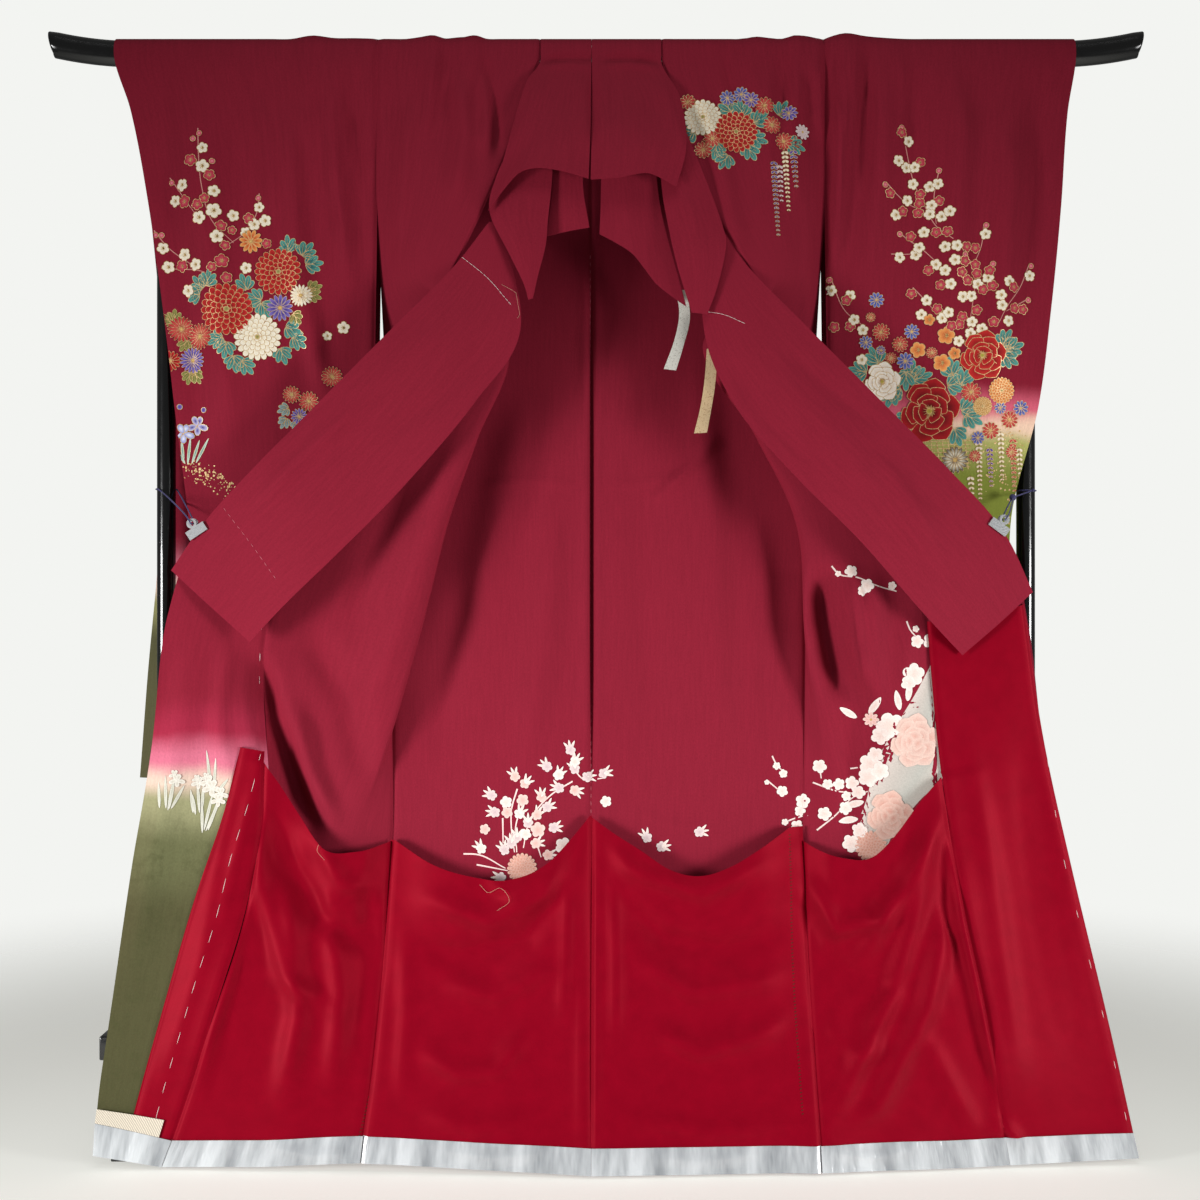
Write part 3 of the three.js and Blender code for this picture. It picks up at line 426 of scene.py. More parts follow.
def vertices_of(mesh: bpy.types.Mesh) -> np.ndarray:
    """The vertices of a mesh as an array of points."""
    flat = np.empty(len(mesh.vertices) * 3)
    mesh.vertices.foreach_get("co", flat)
    return flat.reshape(-1, 3)


WALL_PLAY = (0.97, 1.02)  # between which parts of its thickness a wall's two sides are apart


def wall_pairs(points: np.ndarray, faces: np.ndarray, wall: float) -> np.ndarray:
    """For each vertex of a cloth wall, the vertex on its other side.

    Args:
        points: The wall's vertices in metres, each once.
        faces: Its triangles.
        wall: Its thickness in metres.

    Returns:
        The other side's vertex for each vertex.
    """
    corners = points[faces]
    areas = np.cross(corners[:, 1] - corners[:, 0], corners[:, 2] - corners[:, 0])
    normals = np.zeros_like(points)
    for column in range(3):
        np.add.at(normals, faces[:, column], areas)
    tree = KDTree(len(points))
    for index, point in enumerate(points):
        tree.insert(point, index)
    tree.balance()
    likely = []
    for index, point in enumerate(points):
        out = Vector(normals[index]).normalized()
        for place, found, distance in tree.find_range(point, wall * WALL_PLAY[1]):
            if distance > wall * WALL_PLAY[0] and found > index:
                step = (place - Vector(point)) / distance
                facing = abs(step @ out) + abs(step @ Vector(normals[found]).normalized())
                likely.append((facing, index, found))
    others = np.full(len(points), -1)
    for _, one, two in sorted(likely, reverse=True):
        if others[one] < 0 and others[two] < 0:
            others[one], others[two] = two, one
    return others


def middle_grid(node: str, wall: float) -> np.ndarray:
    """The middle surface of a cloth wall, as rows of points from its top down.

    The wall is a grid of four-sided cells on each face, each cut by a diagonal that runs down
    to the right. The first corner has three neighbours, and the rows are walked from there.

    Args:
        node: The wall's name in the frame.
        wall: Its thickness in millimetres.

    Returns:
        Millimetre points in an array of rows, columns and axes.
    """
    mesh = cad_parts[node].data
    loose = np.array([polygon.vertices[:] for polygon in mesh.polygons])
    keys, merged = np.unique(np.round(vertices_of(mesh) * 1e6), axis=0, return_inverse=True)
    points, faces = keys / 1e6, merged.reshape(-1)[loose]
    others = wall_pairs(points, faces, wall * MM)
    first = np.minimum(np.arange(len(points)), others)
    middle = millimetres((points + points[others]) / 2)

    opposite: dict[frozenset, set[int]] = defaultdict(set)
    near: dict[int, set[int]] = defaultdict(set)
    for a, b, c in first[faces].tolist():
        if len({a, b, c}) == 3:
            for one, two, third in ((a, b, c), (b, c, a), (c, a, b)):
                opposite[frozenset((one, two))].add(third)
                near[one] |= {two, third}
    rim: dict[int, set[int]] = defaultdict(set)
    for edge, thirds in opposite.items():
        if len(thirds) == 1:
            one, two = edge
            rim[one].add(two)
            rim[two].add(one)
    corners = [index for index in near if len(near[index]) == 3 and len(rim[index]) == 2
               and all(len(near[other]) <= 4 for other in rim[index])]
    start = max(corners, key=lambda index: middle[index][2])

    def across(index: int) -> float:
        """How closely the edge to a neighbour of the first corner follows X."""
        step = middle[index] - middle[start]
        return abs(step[0]) / np.linalg.norm(step)

    def along_rim(second: int) -> list[int]:
        """The rim's vertices from the first corner to the next one."""
        line = [start, second]
        while len(near[line[-1]]) > 2:
            line.append(next(iter(rim[line[-1]] - {line[-2]})))
        return line

    down, right = sorted(rim[start], key=across)
    rows = [along_rim(right)]
    for head in along_rim(down)[1:]:
        above, row = rows[-1], [head]
        older = set(rows[-2]) if len(rows) > 1 else set()
        for c in range(len(above) - 1):
            row += opposite[frozenset(above[c:c + 2])] - older
        rows.append(row)
    grid = np.array([[middle[index] for index in row] for row in rows])
    return grid if grid[0, 0, 0] < grid[0, -1, 0] else grid[:, ::-1]


def smooth_between(values: np.ndarray, stations: np.ndarray, wanted: np.ndarray) -> np.ndarray:
    """A smooth curve through values along their first axis.

    Args:
        values: What is known, one entry for each station.
        stations: Rising places of the values.
        wanted: The places asked for.

    Returns:
        The curve's values at the wanted places.
    """
    shape = (-1,) + (1,) * (values.ndim - 1)
    step = np.diff(stations)
    slope = np.diff(values, axis=0) / step.reshape(shape)
    tangent = np.concatenate([slope[:1], slope[-1:]]) if len(values) == 2 else np.concatenate([
        slope[:1],
        slope[:-1] + (slope[1:] - slope[:-1]) * (step[:-1] / (step[:-1] + step[1:])).reshape(shape),
        slope[-1:]])
    low = np.clip(np.searchsorted(stations, wanted, "right") - 1, 0, len(stations) - 2)
    s = ((wanted - stations[low]) / step[low]).reshape(shape)
    size = step[low].reshape(shape)
    return ((2 * s**3 - 3 * s**2 + 1) * values[low] + (s**3 - 2 * s**2 + s) * size * tangent[low]
            + (3 * s**2 - 2 * s**3) * values[low + 1] + (s**3 - s**2) * size * tangent[low + 1])


def lengths_along(grid: np.ndarray) -> np.ndarray:
    """Mean length along a grid's first axis, up to each row."""
    steps = np.linalg.norm(np.diff(grid, axis=0), axis=2).mean(axis=1)
    return np.concatenate([[0.0], np.cumsum(steps)])


def finer(grid: np.ndarray, step: float) -> np.ndarray:
    """A grid made finer down and across, on smooth curves through its points."""
    for _ in range(2):
        stations = lengths_along(grid)
        count = max(len(stations), math.ceil(stations[-1] / step) + 1)
        grid = smooth_between(grid, stations, np.linspace(0, stations[-1], count))
        grid = grid.transpose(1, 0, 2)
    return grid


def grid_normals(grid: np.ndarray) -> np.ndarray:
    """Unit directions square to a grid, towards the viewer on a hanging layer."""
    down, across = np.gradient(grid, axis=0), np.gradient(grid, axis=1)
    normals = np.cross(down, across)
    return normals / np.maximum(np.linalg.norm(normals, axis=2, keepdims=True), 1e-9)


def distances(spots: np.ndarray) -> np.ndarray:
    """How far along a line each of its points is."""
    return np.concatenate([[0], np.cumsum(np.linalg.norm(np.diff(spots, axis=0), axis=1))])


def surface_of(*grids: np.ndarray) -> BVHTree:
    """Grids of cloth as one surface that lines of sight can meet."""
    points, faces = [], []
    for grid in grids:
        faces += [tuple(i + len(points) for i in face) for face in grid_faces(*grid.shape[:2])]
        points += [Vector(p) for p in grid.reshape(-1, 3)]
    return BVHTree.FromPolygons(points, faces)


def met(surface: BVHTree, x: float, z: float) -> tuple[Vector | None, Vector | None]:
    """What a line straight back from the viewer's side meets first: the place and its normal."""
    return surface.ray_cast(Vector((x, NEAR_SIDE, z)), Vector((0, 1, 0)))[:2]


@dataclass(frozen=True)
class Sketch:
    """A figure's drawing sheet, laid square on the front: its corner there and its unit."""

    left: float
    top: float
    unit: float

    def spot(self, x: float, y: float) -> np.ndarray:
        """The place on the front of a point of the sheet, y downwards."""
        return np.array([self.left + self.unit * x, self.top - self.unit * y])

    def spots(self, line: Iterable[Spot]) -> np.ndarray:
        """The places on the front of a line of points."""
        return np.array([self.spot(*point) for point in line])

    def curve(self, line: Iterable[Spot], step: float, least: int) -> np.ndarray:
        """A smooth curve through a line of points, in steps and at least so many points."""
        spots = self.spots(line)
        run = distances(spots)
        count = max(least, int(run[-1] / step))
        return smooth_between(spots, run, np.linspace(0, run[-1], count))


CREASE_FADE = 0.3  # over what part of its length a crease fades in, and again out


@dataclass(frozen=True)
class Crease:
    """A ridge, or where its depth is below zero a valley, along a line drawn on a sheet."""

    sheet: Sketch
    line: tuple[Spot, ...]
    depth: float
    width: float

    def lift(self, grid: np.ndarray) -> np.ndarray:
        """How far it moves each point of a grid towards the viewer."""
        spots = grid[..., [0, 2]]
        ends = self.sheet.spots(self.line)
        best = np.full(spots.shape[:2], np.inf)
        place = np.zeros(spots.shape[:2])
        total = distances(ends)[-1]
        run = 0.0
        for a, b in zip(ends[:-1], ends[1:]):
            length = np.linalg.norm(b - a)
            part = np.clip(((spots - a) @ (b - a)) / length**2, 0, 1)
            distance = np.linalg.norm(spots - a - part[..., None] * (b - a), axis=2)
            place = np.where(distance < best, (run + part * length) / total, place)
            best = np.minimum(best, distance)
            run += length
        fade = np.clip(np.minimum(place, 1 - place) / CREASE_FADE, 0, 1)
        return self.depth * np.exp(-(best / self.width) ** 2) * (3 * fade**2 - 2 * fade**3)


SEAM_COLUMNS = (0.18, 0.38, 0.65)  # where in the first cell the columns beside a seam go
SEAM_LAP = 0.5  # how far a sewn edge runs on into the seam, so that no light shows through
SEAM_PULL = 45.0  # how far from a seam the cloth follows when its two sides are drawn together
SEAM_TOP = (1440.0, 1520.0)  # where the panels part for the turn over the rail
SEAM_END = 2.0  # how far past its neighbour's end an edge is still drawn to it
SEAM_DIP = (2.4, 3.4)  # how deep a seam lies and how wide the dip is
SEAM_SWELL = (0.7, 9.0, 4.0)  # how high the cloth swells beside it, how far away and how wide


def beside_seams(grid: np.ndarray, sewn: str) -> np.ndarray:
    """The grid with more columns next to its sewn edges, so that a seam can dip."""
    parts = np.array(SEAM_COLUMNS)[None, :, None]
    for side, order in (("l", 1), ("r", -1)):
        if side in sewn:
            columns = grid[:, ::order]
            new = columns[:, :1] + (columns[:, 1:2] - columns[:, :1]) * parts
            grid = np.concatenate([columns[:, :1], new, columns[:, 1:]], axis=1)[:, ::order]
    return grid


FRONT_VIEW = Sketch(-835.0, 1611.0, 1.40)  # the whole front, for folds
LINING_LEFT = Sketch(-700.8, 770.0, 0.6295)
LINING_RIGHT = Sketch(-22.2, 770.0, 0.6295)

# Folds and creases of each piece: the sheet, then for each its line, its depth and its width.
FOLDS: dict[str, tuple[Sketch, tuple]] = {
    "back_left": (FRONT_VIEW, (
        (((470, 640), (500, 500), (530, 380)), 12.8, 30),
        (((520, 800), (545, 640), (555, 480)), 9, 22),
        (((586, 250), (586, 500), (587, 815)), 2.9, 5),
        (((592, 180), (592, 500), (592, 830)), -8, 3.5),
        (((470, 484), (540, 480), (588, 486)), 2.1, 6),
        (((430, 760), (450, 640), (470, 560)), -9, 22))),
    "back_right": (FRONT_VIEW, (
        (((725, 430), (692, 466), (655, 502)), 5.8, 7),
        (((700, 455), (668, 490), (640, 500)), 3.6, 6),
        (((700, 300), (716, 560), (720, 800)), 10.9, 26),
        (((640, 420), (650, 620), (660, 800)), -7.2, 24),
        (((598, 250), (598, 500), (598, 815)), 2.9, 5),
        (((592, 180), (592, 500), (592, 830)), -8, 3.5),
        (((596, 486), (650, 480), (700, 474)), 2.1, 6),
        (((625, 812), (680, 828), (720, 826)), 2.9, 6),
        (((760, 500), (770, 650), (775, 800)), 9, 18))),
    "front_left": (FRONT_VIEW, (
        (((392, 40), (390, 80), (386, 130)), -4, 6), (((436, 40), (432, 90), (424, 150)), 5, 6),
        (((446, 40), (448, 80), (446, 130)), -4, 5), (((485, 50), (493, 100), (501, 168)), -9, 6),
        (((402, 120), (396, 200), (388, 300)), -5, 9),
        (((360, 740), (430, 540), (480, 400)), 12.8, 20),
        (((300, 620), (345, 700), (372, 800)), -14.5, 20),
        (((290, 690), (312, 770), (345, 835)), 16.2, 13),
        (((258, 640), (270, 720), (298, 800), (322, 850)), -33, 16),
        (((415, 80), (402, 180), (394, 270)), 9, 12), (((455, 60), (468, 140), (452, 220)), 9, 14),
        (((366, 62), (363, 90), (362, 120)), 5.4, 6), (((490, 58), (489, 110), (486, 170)), 7.2, 9),
        (((345, 650), (372, 560), (420, 450)), -9, 16))),
    "front_right": (FRONT_VIEW, (
        (((724, 44), (730, 80), (742, 120)), -4, 5), (((752, 42), (752, 70), (756, 110)), 4, 5),
        (((782, 42), (786, 80), (784, 130)), -4, 6), (((806, 42), (806, 100), (806, 190)), -4, 6),
        (((770, 190), (748, 220), (725, 250)), 3, 5), (((812, 150), (808, 280), (814, 400)), 5, 9),
        (((818, 560), (824, 620), (834, 668), (846, 712)), -32, 15),
        (((848, 560), (854, 640), (866, 700)), 21.8, 10),
        (((800, 545), (803, 700), (800, 850)), 9, 9),
        (((866, 560), (872, 660), (884, 750)), 19.9, 20),
        (((905, 600), (900, 700), (870, 800)), 10.9, 16),
        (((690, 62), (722, 180), (742, 290)), 7.2, 14),
        (((800, 58), (792, 130), (800, 220)), 9, 11),
        (((765, 60), (770, 120), (765, 200)), 7.2, 12),
        (((845, 700), (850, 780), (846, 850)), -10.9, 14),
        (((815, 46), (820, 90), (822, 150)), 7.2, 7))),
    "okumi_left": (FRONT_VIEW, (
        (((232, 630), (224, 720), (236, 800)), 7.2, 12),
        (((205, 640), (172, 800), (132, 1000)), 5.8, 22),
        (((180, 620), (160, 760), (140, 860)), -4.3, 16),
        (((258, 640), (270, 720), (298, 800), (322, 850)), -33, 16))),
    "sleeve_left_front": (FRONT_VIEW, (
        (((302, 38), (306, 90), (304, 150)), 5, 5), (((318, 38), (322, 84), (325, 130)), -4, 5),
        (((336, 38), (338, 90), (345, 160)), 5, 5), (((352, 38), (356, 110), (362, 200)), -4, 6),
        (((205, 60), (214, 250), (236, 470)), 10.8, 24),
        (((283, 60), (300, 280), (332, 430)), 13, 15),
        (((150, 100), (185, 300), (205, 480)), -8.7, 20),
        (((255, 80), (268, 140), (276, 230)), 8.7, 9),
        (((322, 46), (330, 120), (350, 300)), 10.8, 8),
        (((345, 60), (357, 160), (366, 300)), -6.4, 9),
        (((175, 60), (186, 150), (200, 260)), 6.4, 14))),
    "sleeve_right_front": (FRONT_VIEW, (
        (((838, 38), (836, 80), (834, 130)), -5, 5), (((856, 38), (856, 90), (852, 160)), 5, 6),
        (((872, 38), (870, 70), (868, 110)), -4, 5), (((900, 38), (905, 90), (900, 170)), 4, 8),
        (((950, 48), (962, 130), (952, 330)), 13, 20),
        (((1012, 60), (1006, 260), (985, 420)), 10.8, 22),
        (((885, 56), (880, 160), (862, 300)), 10.8, 16),
        (((843, 46), (840, 180), (834, 300)), 13, 9),
        (((920, 60), (915, 200), (900, 340)), -8.7, 18),
        (((1045, 60), (1038, 180), (1020, 300)), -6.4, 16),
        (((862, 46), (866, 110), (864, 200)), -6.4, 8))),
    "collar_band_left": (FRONT_VIEW, (
        (((490, 300), (400, 372), (300, 470), (215, 560)), 5.1, 24),
        (((372, 405), (318, 455), (262, 510)), 5.1, 9),
        (((330, 400), (300, 430), (255, 462)), -3.4, 9),
        (((505, 330), (450, 395), (380, 450)), -5.1, 12))),
    "collar_band_right": (FRONT_VIEW, (
        (((735, 330), (800, 415), (900, 520), (965, 600)), 5.1, 24),
        (((868, 455), (905, 505), (930, 545)), 5.1, 9),
        (((775, 350), (830, 400), (880, 440)), -3.4, 10),
        (((720, 350), (760, 420), (820, 480)), -5.1, 12))),
    "collar_nape_left": (FRONT_VIEW, (
        (((585, 66), (584, 110), (588, 170)), 5, 8), (((545, 72), (530, 120), (505, 175)), 4, 14),
        (((536, 60), (570, 56), (600, 58)), -7, 5), (((540, 66), (570, 62), (596, 65)), 3, 5))),
    "collar_nape_right": (FRONT_VIEW, (
        (((604, 66), (604, 110), (602, 170)), 4, 7), (((655, 66), (672, 120), (690, 180)), 4, 12),
        (((594, 58), (630, 56), (668, 61)), -7, 5), (((600, 65), (630, 62), (662, 67)), 3, 5))),
    "collar_throat_right": (FRONT_VIEW, ((((680, 190), (692, 240), (698, 290)), 3, 10),)),
    "collar_throat_left": (FRONT_VIEW, ((((520, 190), (515, 240), (525, 290)), 3, 9),)),
    "lining_back_left": (LINING_LEFT, (
        (((1060, 520), (1000, 640), (880, 700), (690, 640)), 11.9, 16),
        (((1070, 600), (960, 740), (820, 785), (680, 740)), -10.2, 16),
        (((1050, 780), (900, 860), (760, 835)), 10.2, 15),
        (((1000, 900), (900, 1010), (820, 1020), (700, 960)), 10.2, 14),
        (((1060, 560), (1050, 760), (1040, 950)), 6.8, 10),
        (((1078, 480), (1080, 800), (1082, 1240)), 3.7, 5),
        (((720, 1100), (860, 1130), (1010, 1090)), 6.8, 13),
        (((860, 610), (930, 640), (1010, 590)), 6.8, 10),
        (((690, 700), (700, 900), (690, 1100)), 5.1, 12),
        (((760, 1170), (900, 1185), (1040, 1165)), 5.1, 8))),
    "lining_back_right": (LINING_RIGHT, (
        (((40, 500), (110, 590), (270, 640), (440, 560)), 11.9, 14),
        (((60, 620), (180, 740), (320, 770), (470, 720)), -10.2, 16),
        (((90, 760), (240, 850), (400, 830), (480, 800)), 10.2, 15),
        (((110, 900), (260, 975), (400, 935), (480, 880)), 10.2, 13),
        (((60, 1100), (300, 1135), (480, 1120)), 6.8, 12),
        (((40, 480), (36, 800), (34, 1240)), 3.7, 5), (((70, 560), (80, 800), (76, 1000)), 6.8, 10),
        (((120, 1175), (260, 1190), (420, 1170)), 5.1, 8))),
    "lining_front_left": (LINING_LEFT, (
        (((395, 425), (430, 560), (510, 690), (650, 790)), -15, 17),
        (((375, 430), (385, 620), (440, 820), (600, 930)), 9, 12),
        (((400, 560), (450, 700), (470, 900), (430, 1120)), 13.6, 17),
        (((520, 600), (560, 860), (540, 1100)), 10.2, 15),
        (((600, 560), (620, 800), (600, 1000)), -6.8, 13),
        (((340, 560), (310, 800), (240, 1100)), 10.2, 16),
        (((380, 640), (360, 860), (300, 1100)), -10.2, 14),
        (((400, 1165), (500, 1190), (600, 1180)), 5.1, 8),
        (((470, 480), (560, 620), (650, 640)), 8.5, 12))),
    "lining_front_right": (LINING_RIGHT, (
        (((785, 420), (740, 640), (675, 851), (510, 1180)), 14, 15),
        (((800, 480), (829, 695), (880, 950), (935, 1165)), 14, 8),
        (((790, 560), (800, 700), (845, 900), (890, 1100)), -9, 7),
        (((500, 640), (510, 800), (520, 980)), -8, 11),
        (((490, 590), (560, 720), (650, 690), (700, 600)), 13.6, 13),
        (((800, 430), (710, 620), (590, 820)), 15.3, 15),
        (((815, 620), (750, 880), (640, 1090), (530, 1150)), 13.6, 15),
        (((520, 760), (620, 860), (720, 800)), -8.5, 15),
        (((720, 900), (830, 1100), (870, 1180)), 6.8, 14),
        (((520, 900), (600, 980), (680, 960)), 6.8, 14),
        (((500, 1165), (620, 1190), (760, 1170)), 5.1, 8))),
    "lining_okumi_right": (LINING_RIGHT, (
        (((850, 260), (900, 600), (960, 1100)), 5.1, 14),
        (((960, 250), (1010, 650), (1080, 1050)), -4.2, 18),
        (((890, 1120), (935, 1150), (960, 1190)), 6.8, 8))),
    "lining_okumi_left": (LINING_LEFT, (
        (((320, 420), (260, 760), (150, 1120)), 5.1, 14),
        (((370, 380), (330, 560), (290, 760)), 5.1, 9))),
}


# Where each lining's loose top edge runs.
TOPS: dict[str, tuple[Sketch, tuple[Spot, ...]]] = {
    "lining_front_left": (LINING_LEFT, (
        (375, 345), (415, 400), (460, 470), (520, 545), (585, 552), (668, 532))),
    "lining_back_left": (LINING_LEFT, (
        (668, 532), (750, 580), (830, 605), (930, 612), (1010, 575), (1060, 525), (1100, 478))),
    "lining_back_right": (LINING_RIGHT, (
        (22, 478), (70, 512), (130, 548), (200, 592), (265, 605), (330, 585), (400, 545),
        (465, 503))),
    "lining_front_right": (LINING_RIGHT, (
        (465, 515), (520, 548), (580, 566), (640, 562), (700, 500), (745, 440), (790, 388))),
}


CLEARANCE = 1.6  # what a layer keeps to the one behind it
SAME_LAYER = 30.0  # how far behind that one a point still belongs in front of it
TOP_REACH = 30.0  # how far a loose top edge may lie from the solid's
# Each slow wave of slack cloth: its height, its lengths along X and Z over 2 pi, and its start.
SLACK_WAVES = ((1.2, 41, 160, 0.0), (0.8, 23, -115, 1.1), (0.8, 67, 48, 2.0))
SLACK_BELOW = (1500.0, 160.0)  # where the slack starts under the rail, and over what height
HEM_CALM = 60.0  # below this height the hem's weight pulls the cloth calmer
HEM_SLACK = 0.25  # how much slack is left at the hem


def slackness(grid: np.ndarray) -> np.ndarray:
    """The unevenness that all layers at a place share: slow waves, none at the rail."""
    x, z = grid[..., 0], grid[..., 2]
    waves = sum(height * np.sin(x / wide + z / tall + start)
                for height, wide, tall, start in SLACK_WAVES)
    start, over = SLACK_BELOW
    return waves * np.clip((start - z) / over, 0, 1) * np.clip(z / HEM_CALM, HEM_SLACK, 1)


def away_from(grid: np.ndarray, side: str) -> np.ndarray:
    """How far each column is from a side edge, l or r."""
    across = lengths_along(grid.transpose(1, 0, 2))
    return across if side == "l" else across[-1] - across


@dataclass
class Cloth:
    """One cut piece of cloth, which takes the place of its wall in the frame."""

    node: str
    finish: Finish
    slot: str
    held: Held
    rests_on: tuple[str, ...]
    sewn: str = ""  # its side edges with a seam, of l and r
    over: str = ""  # the piece that it lies in front of
    wall: float = 2.0
    thickness: float = 0.9
    step: float = 6.5  # from one point of its surface to the next
    grid: np.ndarray = field(init=False)
    with_pieces: list = field(default_factory=list)  # figures and stitches that it carries

    def shape(self, others: dict[str, "Cloth"]) -> None:
        """Makes the fine middle surface, creased, seamed and laid over what is behind it."""
        grid = middle_grid(self.node, self.wall)
        if abs(grid[0, -1, 2] - grid[0, 0, 2]) > abs(grid[-1, 0, 2] - grid[0, 0, 2]):
            grid = grid.transpose(1, 0, 2)[::-1]  # its columns ran up, its rows across
        grid = beside_seams(finer(grid, self.step), self.sewn)
        rows = len(grid)
        if self.node in TOPS:
            sketch, line = TOPS[self.node]
            top = sketch.spots(line)
            along = np.clip(grid[0, :, 0], top[0, 0], top[-1, 0])
            wanted = smooth_between(top[:, 1], top[:, 0], along)
            drop = np.clip(wanted - grid[0, :, 2], -TOP_REACH, TOP_REACH)
            grid[..., 2] += drop * np.linspace(1, 0, rows)[:, None]
        sheet, folds = FOLDS.get(self.node, (FRONT_VIEW, ()))
        lift = slackness(grid) + sum(Crease(sheet, *fold).lift(grid) for fold in folds)
        for side in self.sewn:
            away = away_from(grid, side)
            lift = lift - SEAM_DIP[0] * np.exp(-(away / SEAM_DIP[1]) ** 2) + (
                SEAM_SWELL[0] * np.exp(-((away - SEAM_SWELL[1]) / SEAM_SWELL[2]) ** 2))
        grid[..., 1] -= lift
        for side in self.sewn:
            edge, inner = (0, 1) if side == "l" else (-1, -2)
            out = grid[:, edge] - grid[:, inner]
            grid[:, edge] += SEAM_LAP * out / np.linalg.norm(out, axis=1, keepdims=True)
        if self.over:
            grid = self.laid_over(grid, others[self.over])
        self.grid = grid

    def laid_over(self, grid: np.ndarray, under: "Cloth") -> np.ndarray:
        """The grid moved forward where it would touch the piece behind it."""
        behind = surface_of(under.grid)
        moved = grid.copy()
        for index in np.ndindex(grid.shape[:2]):
            x, y, z = grid[index]
            hit, _ = met(behind, x, z)
            if hit is not None and hit.y - CLEARANCE < y < hit.y + SAME_LAYER:
                moved[index][1] = hit.y - CLEARANCE
        return moved

    def build(self) -> bpy.types.Object:
        obj = sheet_object(f"cloth_{self.node}", self.grid, self.thickness)
        obj.data.materials.append(self.finish.material())
        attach(obj, "root")
        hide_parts(self.node)
        return obj

    def declare(self, obj: bpy.types.Object) -> None:
        """Works out the diagonals of its cells along the cloth, and keeps nothing of them."""
        cells = self.grid
        diagonals = cells[1:, 1:] - cells[:-1, :-1], cells[1:, :-1] - cells[:-1, 1:]


def grid_faces(rows: int, columns: int) -> list[tuple[int, int, int, int]]:
    """Four-sided faces of a grid that look towards the viewer."""
    return [(r * columns + c, (r + 1) * columns + c, (r + 1) * columns + c + 1, r * columns + c + 1)
            for r in range(rows - 1) for c in range(columns - 1)]


def in_scene(name: str, data: bpy.types.ID) -> bpy.types.Object:
    """A new object of the scene, at the origin."""
    obj = bpy.data.objects.new(name, data)
    bpy.context.scene.collection.objects.link(obj)
    return obj


def mesh_object(name: str, points: np.ndarray, faces: list) -> bpy.types.Object:
    """A mesh object in the scene, at the origin, from millimetre points."""
    mesh = bpy.data.meshes.new(name)
    mesh.from_pydata(metres(points).tolist(), [], faces)
    mesh.shade_smooth()
    return in_scene(name, mesh)


def circle(radius: float, sides: int) -> list[Spot]:
    """Points round a circle, anticlockwise."""
    turns = (2 * math.pi * side / sides for side in range(sides))
    return [(radius * math.cos(turn), radius * math.sin(turn)) for turn in turns]


def round_faces(sides: int, rings: int = 2) -> list[tuple[int, ...]]:
    """The faces of a tube through rings of points."""
    return [(r * sides + s, r * sides + (s + 1) % sides, (r + 1) * sides + (s + 1) % sides,
             (r + 1) * sides + s) for r in range(rings - 1) for s in range(sides)]


def end_faces(sides: int, rings: int = 2) -> list[tuple[int, ...]]:
    """The two faces that close such a tube."""
    last = (rings - 1) * sides
    return [tuple(range(sides - 1, -1, -1)), tuple(range(last, last + sides))]


def sheet_object(name: str, grid: np.ndarray, thickness: float) -> bpy.types.Object:
    """A closed thin sheet round a middle surface, with a UV map in metres along the cloth.

    Args:
        name: The object's name.
        grid: The middle surface.
        thickness: The cloth's thickness in millimetres.

    Returns:
        The object.
    """
    rows, columns = grid.shape[:2]
    normals = grid_normals(grid)
    points = np.concatenate([(grid + normals * thickness / 2).reshape(-1, 3),
                             (grid - normals * thickness / 2).reshape(-1, 3)])
    count = rows * columns
    front = grid_faces(rows, columns)
    faces = front + [tuple(index + count for index in reversed(face)) for face in front]
    rim = (list(range(columns)) + [r * columns + columns - 1 for r in range(1, rows)]
           + [(rows - 1) * columns + c for c in range(columns - 2, -1, -1)]
           + [r * columns for r in range(rows - 2, 0, -1)])
    faces += [(a, b, b + count, a + count) for a, b in zip(rim, rim[1:] + rim[:1])]
    obj = mesh_object(name, points, faces)
    across, down = lengths_along(grid.transpose(1, 0, 2)), lengths_along(grid)
    places = np.stack(np.meshgrid(across, -down), axis=-1).reshape(-1, 2) * MM
    corners = np.empty(len(obj.data.loops), int)
    obj.data.loops.foreach_get("vertex_index", corners)
    layer = obj.data.uv_layers.new(name="Cloth")
    layer.data.foreach_set("uv", places[corners % count].astype(np.float32).ravel())
    ends = np.empty(len(obj.data.edges) * 2, int)
    obj.data.edges.foreach_get("vertices", ends)
    on_rim = np.isin(ends.reshape(-1, 2) % count, rim).all(axis=1)
    obj.data.attributes.new("sharp_edge", "BOOLEAN", "EDGE").data.foreach_set("value", on_rim)
    return obj


def draw_together(one: Cloth, side: str, other: Cloth, other_side: str) -> None:
    """Brings the farther of two sewn edges forward, so that no light shows between them."""
    places = {"l": 0, "r": -1}
    ends = [one.grid[:, places[side]].copy(), other.grid[:, places[other_side]].copy()]
    for cloth, letter, edge, facing in ((one, side, *ends), (other, other_side, *ends[::-1])):
        facing = facing[np.argsort(facing[:, 2])]
        gap = np.interp(edge[:, 2], facing[:, 2], facing[:, 1]) - edge[:, 1]
        within = ((edge[:, 2] >= facing[0, 2] - SEAM_END)
                  & (edge[:, 2] <= facing[-1, 2] + SEAM_END))
        below = np.clip((SEAM_TOP[1] - edge[:, 2]) / (SEAM_TOP[1] - SEAM_TOP[0]), 0, 1)
        pull = np.exp(-(away_from(cloth.grid, letter) / SEAM_PULL) ** 2)
        cloth.grid[..., 1] += (np.minimum(gap, 0) * within * below)[:, None] * pull


